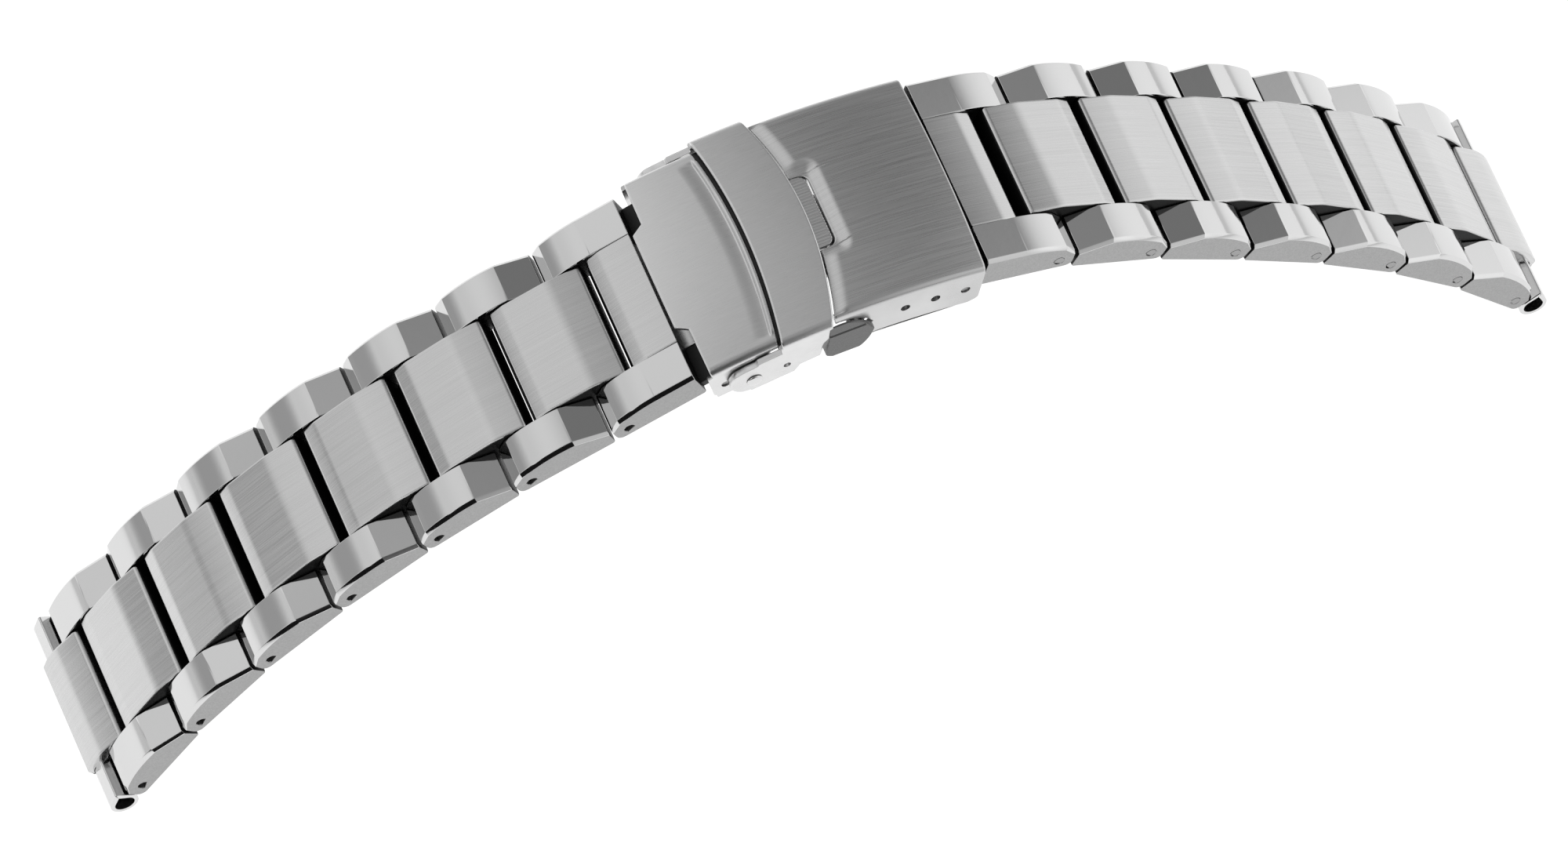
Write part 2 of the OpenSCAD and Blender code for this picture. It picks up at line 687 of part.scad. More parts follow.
// Push button: a creased lens on a stem that slides in the cover's bracket, with a latch nose
stem_end = bracket_y - button_travel - 0.3;
module button(side) {
    color("silver") on_clasp() mirror([0, side == "near" ? 1 : 0, 0]) {
        intersection() {
            across(button_back, button_back + button_t) pad_outline(0);
            translate([-button_l, 0, button_z]) rotate([90, 0, 90]) linear_extrude(2 * button_l) polygon([
                [button_back, -button_h], [button_back, button_h],
                [button_back + 0.1, button_h / 2], [button_back + 0.45 * button_t, button_h * 0.25],
                [button_back + button_t, -button_h * 0.42], [button_back + 0.6 * button_t, -button_h]]);
        }
        rod(stem_d, stem_x, button_z, stem_end - 0.3, button_back + 0.1);
        across(stem_end - 0.5, stem_end) translate([stem_x - 0.8, button_z - 0.4]) square([1.6, 1.2]);
    }
}

// Springs that push the buttons out, each seated on its bracket
module button_springs() {
    color("gray") on_clasp() for (m = [0, 1]) mirror([0, m, 0]) difference() {
        rod(stem_d + 0.7, stem_x, button_z, bracket_y + bracket_t, bracket_y + bracket_t + 0.35);
        rod(stem_d + 0.1, stem_x, button_z, 0, cover_w);
    }
}

for (s = sides) {
    for (i = [1:7]) {
        outers(s, i);
        link_pin(s, i);
    }
    for (i = [2:7]) middle(s, i - 1);
    first_middle(s);
    end_middle(s);
    end_tube(s);
}
cover();
outer_blade();
inner_blade();
end_plate();
safety_bar();
rivets();
button("near");  // button_near
button("far");  // button_far
button_springs();
hinge_stubs();
fold_pin();
spring_bar(left_bar_x, left_bar_z, plate_t);  // spring_bar_left
spring_bar(right_bar_x, 0, cover_t);  // spring_bar_right
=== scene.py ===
# %% [markdown]
# # A steel watch bracelet
# A three-row link bracelet with a folding clasp stands on its two watch ends as an arch. Every
# piece is already placed by the imported model, so this lesson only dresses it: each link and sheet
# gets a fine surface worked out with numpy, and every piece a steel finish made of nodes.
# Load the frame first, because all places below are read from its joints.

# %% Load the frame
import json
import math

import bmesh
import bpy
import numpy as np
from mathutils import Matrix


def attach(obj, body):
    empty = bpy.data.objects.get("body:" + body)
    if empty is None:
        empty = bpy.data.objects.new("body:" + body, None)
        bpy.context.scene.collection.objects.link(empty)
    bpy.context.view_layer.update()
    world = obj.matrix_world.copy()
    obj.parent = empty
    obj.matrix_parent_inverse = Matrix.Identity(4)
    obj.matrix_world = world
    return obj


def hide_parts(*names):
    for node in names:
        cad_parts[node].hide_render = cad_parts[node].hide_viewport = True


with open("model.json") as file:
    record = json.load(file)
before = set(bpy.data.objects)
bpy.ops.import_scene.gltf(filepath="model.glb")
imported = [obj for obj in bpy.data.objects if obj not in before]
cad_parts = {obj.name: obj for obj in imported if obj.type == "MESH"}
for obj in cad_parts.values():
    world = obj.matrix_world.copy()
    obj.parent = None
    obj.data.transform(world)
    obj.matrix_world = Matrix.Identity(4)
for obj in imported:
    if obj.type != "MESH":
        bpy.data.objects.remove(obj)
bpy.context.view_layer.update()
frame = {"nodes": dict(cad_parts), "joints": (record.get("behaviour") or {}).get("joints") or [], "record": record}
MM = 0.001

# %% [markdown]
# ## Camera
# The photograph was taken from above and in front with a long lens, so lines across the strap
# stay parallel. A camera 1.6 m away with a 404 mm lens gives that flat perspective. The view
# covers 142 mm at the bracelet, in the 2000 by 1089 frame.

# %% Camera
VIEW_AZIMUTH = -21.85
VIEW_ELEVATION = 61.3
VIEW_DISTANCE = 1.6
VIEW_WIDTH = 0.1424
SENSOR = 36
AIM = np.array([-1.0, 0, 9.13]) * MM


def direction(azimuth, elevation):
    """Unit vector from the object to a viewer; azimuth 0 looks along +Y."""
    a, e = math.radians(azimuth), math.radians(elevation)
    return np.array([math.cos(e) * math.sin(a), -math.cos(e) * math.cos(a), math.sin(e)])


def add_object(name, data):
    """Puts data into the scene as an object."""
    made = bpy.data.objects.new(name, data)
    bpy.context.scene.collection.objects.link(made)
    return made


camera_data = bpy.data.cameras.new("camera")
camera_data.sensor_width = SENSOR
camera_data.lens = SENSOR * VIEW_DISTANCE / VIEW_WIDTH
camera_data.clip_end = 20
camera = add_object("camera", camera_data)
camera.location = AIM + direction(VIEW_AZIMUTH, VIEW_ELEVATION) * VIEW_DISTANCE
camera.rotation_euler = (math.radians(90 - VIEW_ELEVATION), 0, math.radians(VIEW_AZIMUTH))
bpy.context.scene.camera = camera
bpy.context.scene.view_settings.view_transform = "Standard"
print("lens in mm", round(camera_data.lens, 1))

# %% [markdown]
# ## Node helpers
# Steel is all reflection, so materials are built from few nodes. One function adds a node with
# its settings and links, and one turns an sRGB hex value to linear light.

# %% Helpers for materials


def linear(hex_value):
    """sRGB hex to linear: c/12.92 below 0.04045, else ((c+0.055)/1.055) to the power 2.4."""
    c = np.array([int(hex_value[i:i + 2], 16) / 255 for i in (1, 3, 5)])
    return (*np.where(c <= 0.04045, c / 12.92, ((c + 0.055) / 1.055) ** 2.4), 1.0)


def node(tree, kind, links=None, **settings):
    """Adds one node; settings set its fields or inputs, and links join its inputs to sockets."""
    made = tree.nodes.new(kind)
    for key, value in settings.items():
        if hasattr(made, key):
            setattr(made, key, value)
        else:
            made.inputs[key.replace("_", " ")].default_value = value
    for key, socket in (links or {}).items():
        tree.links.new(socket, made.inputs[key])
    return made


def new_material(name):
    """A material whose node tree is still empty."""
    material = bpy.data.materials.new(name)
    material.use_nodes = True
    material.node_tree.nodes.clear()
    return material, material.node_tree


def close_material(tree, shader):
    """Joins the last shader to the material's output."""
    node(tree, "ShaderNodeOutputMaterial", links={"Surface": shader.outputs[0]})


# %% [markdown]
# ## Steel finishes
# Stainless steel is grey and fully metallic, and its look is all in its surface. Mirror polish
# is smooth with a faint wave, brushing leaves long scratches in one direction, and blasting
# leaves grain the same in all directions. The belt runs along the bracelet, so brushed lines
# lie in the XZ plane and change only across Y. That makes one mapping right for every link,
# whatever its slope. Real brush lines are a few hundredths of a millimetre apart, less than a
# pixel here, so brushed and satin grain is drawn coarser than it is, to let it show.

# %% Steel finishes


def steel(name, colour, roughness, grain_mm, bump_mm, rough_spread=0.0, tint=0.0, long_mm=None):
    """Stainless steel: colour, roughness, grain size across Y and bump height. The grain may also
    spread the roughness and darken the colour by a share, and long_mm draws it out along X and Z."""
    material, tree = new_material(name)
    where = node(tree, "ShaderNodeTexCoord")
    along = 1 / ((long_mm or grain_mm) * MM)
    across = 1 / (grain_mm * MM)
    mapped = node(tree, "ShaderNodeMapping", links={"Vector": where.outputs["Object"]},
                  Scale=(along, across, along))
    grain = node(tree, "ShaderNodeTexNoise", links={"Vector": mapped.outputs[0]},
                 Scale=1.0, Detail=3.0, Roughness=0.6)
    bump = node(tree, "ShaderNodeBump", links={"Height": grain.outputs["Fac"]},
                Strength=1.0, Distance=bump_mm * MM)
    shader = node(tree, "ShaderNodeBsdfPrincipled", links={"Normal": bump.outputs[0]},
                  Metallic=1.0, Base_Color=linear(colour), Roughness=roughness)
    if rough_spread:
        spread = node(tree, "ShaderNodeMapRange", links={"Value": grain.outputs["Fac"]},
                      To_Min=roughness - rough_spread, To_Max=roughness + rough_spread)
        tree.links.new(spread.outputs[0], shader.inputs["Roughness"])
    if tint:
        shade = node(tree, "ShaderNodeMapRange", links={"Value": grain.outputs["Fac"]},
                     From_Min=0.3, From_Max=0.7, To_Min=1 - tint, To_Max=1.0)
        mixed = node(tree, "ShaderNodeVectorMath", links={"Scale": shade.outputs[0]}, operation="SCALE")
        mixed.inputs[0].default_value = linear(colour)[:3]
        tree.links.new(mixed.outputs[0], shader.inputs["Base Color"])
    close_material(tree, shader)
    return material


# Buffed to a mirror. The buff leaves a faint wave every 2 mm, so reflections stay clear but bend.
POLISHED = steel("mirror_polished_steel", "#D6D6D6", 0.07, 2.2, 0.0050)
# Blasted with glass beads of about 0.1 mm, which gives an even grey grain without lines.
BLASTED = steel("blasted_steel", "#AEAEAE", 0.38, 0.12, 0.016, 0.08, 0.25)
# Brushed on a belt along the strap: long fine lines that spread highlights across them.
BRUSHED = steel("brushed_steel", "#D8D8D8", 0.25, 0.09, 0.0022, 0.10, 0.14, long_mm=9.0)
# The cover's belt is a little coarser, which gives a duller face.
COVER_BRUSHED = steel("cover_brushed_steel", "#D4D4D4", 0.29, 0.10, 0.0024, 0.10, 0.18, long_mm=7.0)
# Satin: short fine strokes of a soft wheel, pale with wide highlights.
SATIN = steel("satin_steel", "#E2E2E2", 0.30, 0.09, 0.0014, 0.08, 0.08, long_mm=1.6)
# Tumbled bright: the folded sheets and the rivets shine without being a mirror.
BRIGHT = steel("bright_trim_steel", "#DADADA", 0.16, 0.5, 0.0012)
# A darker satin on the push buttons sets them off from the pale walls.
PAD = steel("dark_satin_steel", "#767676", 0.28, 0.2, 0.0020, 0.05, 0.1)
# Drawn wire: pins and springs are smooth from the die and left grey.
WIRE = steel("drawn_steel_wire", "#9A9A9A", 0.30, 0.1, 0.0010)
# Blade sheet as the press leaves it, with a short fine grain, and darker than that as painted shade, since the
# blades sit in the clasp's shade.
SHADED_BLADE = steel("shaded_blade_steel", "#8C8C8C", 0.28, 0.08, 0.0010, 0.06, 0.08, long_mm=1.0)
# Painted shade: the faces between the links and the fillers under the gaps get a dark steel that stands in for the
# shade there, with a short grain like tool marks.
PAINTED_SHADE = steel("painted_gap_shade_steel", "#3A3A3A", 0.45, 0.08, 0.0015, 0.08, 0.2, long_mm=0.4)
print("finishes", [m.name for m in bpy.data.materials if m.name.endswith(("steel", "wire"))])

# %% [markdown]
# ## Where everything is
# A link's own frame has its origin on its watch-side pin, x towards the clasp, y across and z
# away from the wrist. The right strap is the left one turned half round Z. The joints give the
# pins, so each link's slope is the angle between its two pins. Distances from here to the end
# of the shapes are in millimetres.

# %% Places
joint_at = {j["name"]: np.array(j.get("pos_m", (0, 0, 0))) / MM for j in frame["joints"]}
mount_at = {m["name"]: np.array(m["pos_m"]) / MM for m in frame["record"]["mounts"]}
LINKS = 7
SIDES = ("left", "right")
TUBE_REACH, TUBE_RISE = 2.9, 0.35


def pin_at(side, i):
    """The pin on a link's watch side. The one after the last link is the clasp's spring bar."""
    return joint_at[f"{side}_pivot_{i}"] if i <= LINKS else joint_at[f"{side}_clasp_pivot"]


def slope_between(a, b, side):
    """Angle above level from point a to point b, seen with the clasp to the right."""
    run = (b - a)[0] * (1 if side == "left" else -1)
    return math.atan2((b - a)[2], run)


def placed(points, origin, slope, side="left"):
    """Turns local points by the slope about Y, turns the right strap half round, and moves them."""
    x, y, z = np.moveaxis(np.asarray(points, float), -1, 0)
    c, s = math.cos(slope), math.sin(slope)
    turned = np.stack([x * c - z * s, y, x * s + z * c], -1)
    if side == "right":
        turned = turned * (-1, -1, 1)
    return (turned + origin) * MM


def link_frame(side, i):
    """A link's frame: its watch-side pin, the slope from there to its other pin, and its side."""
    return pin_at(side, i), slope_between(pin_at(side, i), pin_at(side, i + 1), side), side


def end_frame(side):
    """The watch end's frame: its tube lies at (-TUBE_REACH, TUBE_RISE) from the last pin."""
    slope = slope_between(mount_at[f"{side}_lug_bore"], pin_at(side, 1), side)
    return pin_at(side, 1), slope + math.atan2(TUBE_RISE, TUBE_REACH), side


# In the clasp's frame the left spring bar lies lower than the right one by this drop, so the
# clasp's slope is that of the line between the bars less the angle of the drop.
PLATE_BAR_DROP = 0.6
bars = joint_at["right_clasp_pivot"] - joint_at["left_clasp_pivot"]
HALF_SPAN = math.sqrt(bars @ bars - PLATE_BAR_DROP ** 2) / 2
clasp_slope = math.atan2(bars[2], bars[0]) - math.atan2(PLATE_BAR_DROP, 2 * HALF_SPAN)
along_clasp = np.array([math.cos(clasp_slope), 0, math.sin(clasp_slope)])
clasp_frame = (joint_at["right_clasp_pivot"] - HALF_SPAN * along_clasp, clasp_slope, "left")
print("clasp slope in degrees", round(math.degrees(clasp_slope), 1), "span", round(2 * HALF_SPAN, 2))

# %% [markdown]
# ## Mesh helpers
# Shapes are made as rings of points: an outline in the XZ plane, repeated at several places
# across Y and drawn in a little near its ends, so every edge is rounded. Rings that close on
# themselves make a solid with a bore right through it.

# %% Mesh helpers
SHARP = math.radians(38)


def quads(rows, cols, wrap_rows=False):
    """Faces of a grid of rows by cols points, closed along its columns."""
    r, c = np.meshgrid(np.arange(rows if wrap_rows else rows - 1), np.arange(cols), indexing="ij")
    r2, c2 = (r + 1) % rows, (c + 1) % cols
    return np.stack([r * cols + c, r * cols + c2, r2 * cols + c2, r2 * cols + c], -1).reshape(-1, 4)


def finish_mesh(name, points, faces, materials, marks=None):
    """Makes the mesh, points its faces outwards, and marks edges sharper than SHARP."""
    mesh = bpy.data.meshes.new(name)
    mesh.from_pydata(points.reshape(-1, 3).tolist(), [], [list(f) for f in faces])
    for material in materials:
        mesh.materials.append(material)
    if marks is not None:
        mesh.polygons.foreach_set("material_index", np.asarray(marks, dtype=np.int32))
    work = bmesh.new()
    work.from_mesh(mesh)
    bmesh.ops.recalc_face_normals(work, faces=work.faces)
    work.to_mesh(mesh)
    work.free()
    mesh.shade_smooth()
    mesh.set_sharp_from_angle(angle=SHARP)
    return add_object(name, mesh)


def weighted(piece):
    """Large flat faces keep their own normals, and the small rounded ones blend between them."""
    modifier = piece.modifiers.new("weighted_normal", "WEIGHTED_NORMAL")
    modifier.keep_sharp = True
    modifier.weight = 100


def dress(piece, body, slot, *nodes):
    """Puts a piece on the body it rides on and hides the model's nodes that it replaces; its slot is not used."""
    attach(piece, body)
    if nodes:
        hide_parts(*nodes)


# %% [markdown]
# An outline is a few corners that are then rounded, as tumbling rounds real edges. Drawn in a
# little near both ends of a slab, it rounds the slab's long edges too.

# %% Outlines
TINY = 1e-9
SAME_PLACE = 1e-6


def unit(vectors):
    """Each row of an array divided by its own length."""
    return vectors / np.maximum(np.linalg.norm(vectors, axis=1, keepdims=True), TINY)


def filleted(corners, radii, steps=5):
    """Rounds each corner of a closed outline. The arc starts r / tan(half angle) from the corner,
    and its points turn evenly about a centre that lies r / sin(half angle) along the bisector. A
    corner with radius 0 stays one point."""
    p, r = np.array(corners, float), np.array(radii, float)[:, None]
    a, b = unit(np.roll(p, 1, 0) - p), unit(np.roll(p, -1, 0) - p)
    half = np.arccos(np.clip((a * b).sum(1), -1, 1))[:, None] / 2
    centre = p + unit(a + b) * r / np.sin(half)
    start, end = p + a * r / np.tan(half) - centre, p + b * r / np.tan(half) - centre
    turn = np.maximum(math.pi - 2 * half, SAME_PLACE)[:, None]
    t = np.linspace(0, 1, steps)[None, :, None]
    arc = (np.sin((1 - t) * turn) * start[:, None] + np.sin(t * turn) * end[:, None]) / np.sin(turn)
    points = (centre[:, None] + arc).reshape(-1, 2)
    return points[np.linalg.norm(points - np.roll(points, 1, 0), axis=1) > SAME_PLACE]


def inset(outline, by):
    """Moves each point of an outline inwards by a distance, along the mean of its edge normals."""
    along = unit(unit(np.roll(outline, -1, 0) - outline) + unit(outline - np.roll(outline, 1, 0)))
    area = np.sum(outline[:, 0] * np.roll(outline[:, 1], -1) - np.roll(outline[:, 0], -1) * outline[:, 1])
    normal = np.stack([-along[:, 1], along[:, 0]], -1) * np.sign(area)
    return outline + normal * by


def ring(outline, y):
    """An outline in XZ set at a place y across."""
    return np.insert(outline, 1, y, axis=1)


def circle_points(x, z, radius, angle):
    """Points of a circle about x, z at the given angles."""
    return np.stack([x + radius * np.cos(angle), z + radius * np.sin(angle)], -1)


def circle_like(outline, centre, radius, y):
    """Ring of points on a circle, each in the direction of the outline's own point."""
    angle = np.arctan2(outline[:, 1] - centre[1], outline[:, 0] - centre[0])
    return ring(circle_points(*centre, radius, angle), y)


# %% [markdown]
# ## Outer links
# The outer rows are solid steel blocks with a mirror top. The top has a steep facet at the watch
# end, a long crown and a flat end facet, and a bevel whose edge follows a wide arch runs down
# to the blasted side face. The far end of every pin is flush with its side face and the near
# end is sunk, so the bore shows as a dark hole on one side and as a thin ring on the other. A
# box with cuts could do, but an outline repeated across the link rounds every edge as well.

# %% Outline of the outer links
STRAP_W, OUTER_W = 19.8, 4.0
MIDDLE_W = STRAP_W - 2 * OUTER_W
PITCH, NOSE, OUTER_GAP = 10.0, 1.45, 0.3
SOLE, CROWN = -1.0, 2.6
END_FACE = 7.6
ARCH_X, ARCH_R = 3.7, 12.0
CROWN_START, CROWN_STOP = 0.1, 5.2
FACET_X, FACET_FALL, END_FALL = -0.4, 1.7, 1.6


def arch(x, drop=0.0):
    """Height of the crown's arch: a circle of radius ARCH_R less the drop, about a centre that
    lies ARCH_R under the crown at ARCH_X."""
    return CROWN - ARCH_R + np.sqrt((ARCH_R - drop) ** 2 - (x - ARCH_X) ** 2)


def outer_outline(flush):
    """Side view of an outer link: upright nose, steep facet, arched crown, end facet, end, sole.
    On the end link, which is flush with its middle, the top stays level past ARCH_X."""
    end = END_FACE if flush else PITCH - NOSE - OUTER_GAP
    crown = [(x, arch(x)) for x in np.linspace(CROWN_START, ARCH_X if flush else CROWN_STOP, 25)]
    corners = [(-NOSE, SOLE), (-NOSE, CROWN - FACET_FALL), (FACET_X, arch(FACET_X))] + crown
    corners += [(end, CROWN - (0.02 if flush else END_FALL)), (end, SOLE)]
    radii = [0.7, 0.08, 0.12] + [0] * (len(crown) - 1) + [0.12, 0.08 if flush else 0.1, 0.3]
    return filleted(corners, radii)


# %% [markdown]
# Across the link the outline keeps its size up to the bevel. There the arch is lowered a little
# and both facets sink with it, so the bevel runs on down the facets.

# %% Rings of the outer links
BEVEL_W, BEVEL_H, BLEND = 0.34, 0.32, 0.03
FACET_SHARE, FACET_FOOT = 0.8, 0.3
BORE_R, CHAMFER, EDGE = 0.5, 0.07, 0.1


def outer_rings(flush):
    """Closed stack of rings: inner bore edge, inner face, rounded edges, bevel, side face, bore.
    Each ring is the outline drawn in and held under the arch, whose radius is less by the drop.
    Points above FACET_FOOT also sink by FACET_SHARE of that drop."""
    outline = outer_outline(flush)
    pin = (0.0, 0.0)

    def station(y, draw_in, drop):
        drawn = inset(outline, draw_in)
        ceiling = arch(drawn[:, 0], drop)
        if flush:
            ceiling = np.where(drawn[:, 0] > ARCH_X, np.maximum(ceiling, CROWN - drop), ceiling)
        sunk = drawn[:, 1] - FACET_SHARE * drop * (drawn[:, 1] > FACET_FOOT)
        drawn[:, 1] = np.minimum(sunk, ceiling)
        return ring(drawn, y)

    w = OUTER_W
    return np.stack([
        circle_like(outline, pin, BORE_R, 0), station(0, EDGE, 0.1),
        station(EDGE * 0.3, EDGE * 0.3, BLEND), station(EDGE, 0, 0),
        station(w - BEVEL_W - BLEND, 0, 0), station(w - BEVEL_W + BLEND, 0, BLEND),
        station(w - 0.04, 0.01, BEVEL_H - BLEND), station(w, 0.04, BEVEL_H + 0.02),
        circle_like(outline, pin, BORE_R + CHAMFER, w), circle_like(outline, pin, BORE_R, w - CHAMFER),
    ])


# %% Outer links
SIDE_FACE = 7
END_BAND, ROUNDED_TOP = 0.12, 0.5


def at_ends(outline, lip=0.0):
    """True for each side of an outline that lies on one of its two end faces, below the rounding.
    These sides get the dark painted shade of the gaps. A lip widens the band at the first end, where all of its
    sides count."""
    ahead = np.roll(outline, -1, 0)
    x, z = (outline + ahead).T / 2
    steep = np.abs((ahead - outline)[:, 1]) > 2 * np.abs((ahead - outline)[:, 0])
    first, last = outline[:, 0].min(), outline[:, 0].max()
    near_end = (x < first + END_BAND) | (x > last - END_BAND)
    return (steep & near_end | (x < first + lip)) & (z < CROWN - ROUNDED_TOP)


def outer_pair(side, i):
    """Two outer links as one piece, the near one a mirror image of the far one. Faces are marked
    0 polished, 1 blasted from row SIDE_FACE on, and 2 dark painted shade where only neighbours see them."""
    rings = outer_rings(i == LINKS)
    rows, cols = rings.shape[:2]
    far = rings + (0, MIDDLE_W / 2, 0)
    points = np.concatenate([far, far * (1, -1, 1)])
    one = quads(rows, cols, wrap_rows=True)
    faces = np.concatenate([one, one + rows * cols])
    marks = np.repeat(np.arange(rows) >= SIDE_FACE, cols).astype(int)
    marks[:cols] = 2
    marks[np.tile(at_ends(outer_outline(i == LINKS)), rows) & (marks == 0)] = 2
    piece = finish_mesh(f"{side}_outer_links_{i}", placed(points, *link_frame(side, i)), faces,
                        [POLISHED, BLASTED, PAINTED_SHADE], np.tile(marks, 2))
    weighted(piece)
    dress(piece, f"{side}_link_{i}", "polished_steel", f"{side}_outers_{i}")


for side in SIDES:
    for i in range(1, LINKS + 1):
        outer_pair(side, i)
print("outer links", 2 * LINKS, "pairs")

# %% [markdown]
# ## Middle links
# The middle row is brushed. Each middle has a short facet at the watch side, a flat crown and a
# longer facet towards the clasp, with rounded ends that leave a dark gap to the next one. It
# turns between the outers of the next link, so it is a little narrower than the space between
# them. A low foot reaches under the gap and keeps the table from showing through; the foot and
# the ends are painted dark as the shade in the gap.

# %% Middle links
TAIL, MIDDLE_GAP, SIDE_PLAY = 2.2, 0.7, 0.1
MIDDLE_START = TAIL + MIDDLE_GAP
MIDDLE_HALF = MIDDLE_W / 2 - SIDE_PLAY
FOOT_REACH, FOOT_H, FOOT_BAND = 0.6, 0.35, 0.7
HEAD_FACET, HEAD_FALL, CROWN_DIP = 1.5, 0.45, 0.08
TAIL_FACET, TAIL_FALL = 3.2, 0.6
LONG_EDGE, FLUSH_EDGE = 0.13, 0.1


def middle_outline(x0, x1, flush=False):
    """Side view of a middle link from x0 to x1: foot, rounded start, short facet, level crown,
    then a long facet and a rounded end, or an upright end that is flush with the outers."""
    foot = x0 - FOOT_REACH
    corners = [(foot, SOLE), (foot, SOLE + FOOT_H), (x0, 0.0), (x0, CROWN - HEAD_FALL)]
    corners.append((x0 + HEAD_FACET, CROWN - CROWN_DIP))
    radii = [0.06, 0.1, 0.1, 0.45, 2.4]
    if flush:
        corners += [(x1, CROWN), (x1, SOLE)]
        radii += [0.06, 0.3]
    else:
        corners += [(x1 - TAIL_FACET, CROWN), (x1, CROWN - TAIL_FALL), (x1, SOLE)]
        radii += [5.0, 0.5, 0.3]
    return filleted(corners, radii, 9)


def slab_rings(outline, half, edge, bore=None, bore_r=BORE_R):
    """Rings of a slab between -half and half with rounded long edges, and a bore if one is given."""
    across = [(-half, edge), (-half + edge * 0.3, edge * 0.3), (-half + edge, 0), (-half + edge + 0.1, 0)]
    across += [(-y, d) for y, d in reversed(across)]
    rings = [ring(inset(outline, d), y) for y, d in across]
    if bore is not None:
        rings.insert(0, circle_like(outline, bore, bore_r, -half))
        rings.append(circle_like(outline, bore, bore_r, half))
    return np.stack(rings)


def solid(name, rings, where, material, bored=False, dark_ends=False, soft=False):
    """A bored slab wraps round its bore; a plain one is closed with one flat face at each end.
    Dark ends give the faces that only the neighbours see the dark painted shade of the gaps, and soft leaves all
    normals blended."""
    rows, cols = rings.shape[:2]
    faces = quads(rows, cols, wrap_rows=bored).tolist()
    if not bored:
        faces += [list(range(cols)), list(range((rows - 1) * cols, rows * cols))]
    marks = np.zeros(len(faces), int)
    if dark_ends:
        inner = np.tile(at_ends(rings[rows // 2][:, [0, 2]], FOOT_BAND), len(faces) // cols)
        marks[:len(inner)][inner] = 1
        marks[len(inner):] = 1
        if bored:
            marks[:cols] = 1
            marks[(rows - 2) * cols:(rows - 1) * cols] = 1
    piece = finish_mesh(name, placed(rings, *where), faces, [material, PAINTED_SHADE], marks)
    if not soft:
        weighted(piece)
    return piece


for side in SIDES:
    for i in range(1, LINKS):
        outline = middle_outline(MIDDLE_START, PITCH + TAIL)
        rings = slab_rings(outline, MIDDLE_HALF, LONG_EDGE, bore=(PITCH, 0.0))
        piece = solid(f"{side}_middle_link_{i + 1}", rings, link_frame(side, i), BRUSHED,
                      bored=True, dark_ends=True, soft=True)
        dress(piece, f"{side}_link_{i}", "brushed_steel", f"{side}_middle_{i + 1}")
print("middle links", 2 * (LINKS - 1))

# %% [markdown]
# The end link's middle stops flush with its outers, and a neck carries the knuckle round the
# clasp's spring bar. Shoulders in dark painted shade fill the space on both sides of the knuckle,
# so no table shows there. The first middle rides on the folded sheet of the watch end, so its
# underside follows the sheet's round.

# %% End middles and first middles
BAR_R, KNUCKLE_AT = 0.75, 9.6
KNUCKLE_R, BAR_BORE_R = BAR_R + 0.3, BAR_R + 0.03
NECK_ROOT, NECK_HIGH, NECK_LOW = END_FACE - 0.4, 0.38, -0.48
BESIDE_HALF, BESIDE_AT = 1.85, MIDDLE_HALF + 1.9
# The two shoulders are fillers in dark painted shade beside the knuckle.
NECKS = (("knuckle", MIDDLE_HALF, 0, BRUSHED), ("shoulder_far", BESIDE_HALF, BESIDE_AT, PAINTED_SHADE),
         ("shoulder_near", BESIDE_HALF, -BESIDE_AT, PAINTED_SHADE))
END_REACH, TUBE_R = 3.9, 1.35


def neck_outline():
    """Side view of the neck: most of a circle about the spring bar, and an upright root."""
    knuckle = circle_points(KNUCKLE_AT, 0, KNUCKLE_R, np.radians(np.linspace(-151, 157, 27)))
    return np.concatenate([[(NECK_ROOT, NECK_HIGH), (NECK_ROOT, NECK_LOW)], knuckle])


def first_outline():
    """The middle's outline with its underside cut to the round of the sheet below it."""
    whole = middle_outline(-END_REACH, TAIL)
    whole = whole[(whole[:, 0] > -END_REACH - 0.01) | (whole[:, 1] > 0.5)]
    r = TUBE_R + 0.02
    round_off = circle_points(-TUBE_REACH, TUBE_RISE, r, np.radians(np.linspace(150, 10, 15)))
    top = whole[(whole[:, 1] > CROWN - 1.2) & (whole[:, 0] < 0)]
    rest = whole[whole[:, 0] > 0]
    return np.concatenate([round_off[::-1], top, rest, [(-TUBE_REACH + r + 0.1, SOLE + 0.1)]])


for side in SIDES:
    end_link = link_frame(side, LINKS)
    rings = slab_rings(middle_outline(MIDDLE_START, END_FACE, flush=True), MIDDLE_W / 2, FLUSH_EDGE)
    whole = solid(f"{side}_end_middle_link", rings, end_link, BRUSHED, dark_ends=True, soft=True)
    dress(whole, f"{side}_link_{LINKS}", "brushed_steel", f"{side}_end_middle")
    for name, half, at, finish in NECKS:
        neck = slab_rings(neck_outline(), half, FLUSH_EDGE, bore=(KNUCKLE_AT, 0.0), bore_r=BAR_BORE_R)
        piece = solid(f"{side}_end_{name}", neck + (0, at, 0), end_link, finish, bored=True)
        dress(piece, f"{side}_link_{LINKS}", "brushed_steel")
    first = solid(f"{side}_first_middle_link", slab_rings(first_outline(), MIDDLE_HALF, LONG_EDGE),
                  end_frame(side), BRUSHED, soft=True)
    dress(first, f"{side}_watch_end", "brushed_steel", f"{side}_middle_1")
print("end links", len(SIDES), "with knuckles", round(2 * KNUCKLE_R, 2), "mm high")

# %% [markdown]
# ## Watch-end tubes
# A strip of sheet is folded round the watch's spring bar and pinched to a lip on top, which
# leaves a drop-shaped opening at each end.

# %% Watch-end tubes
LIP_TURN, LIP_REACH, SHEET = math.radians(54), 2.1, 0.4


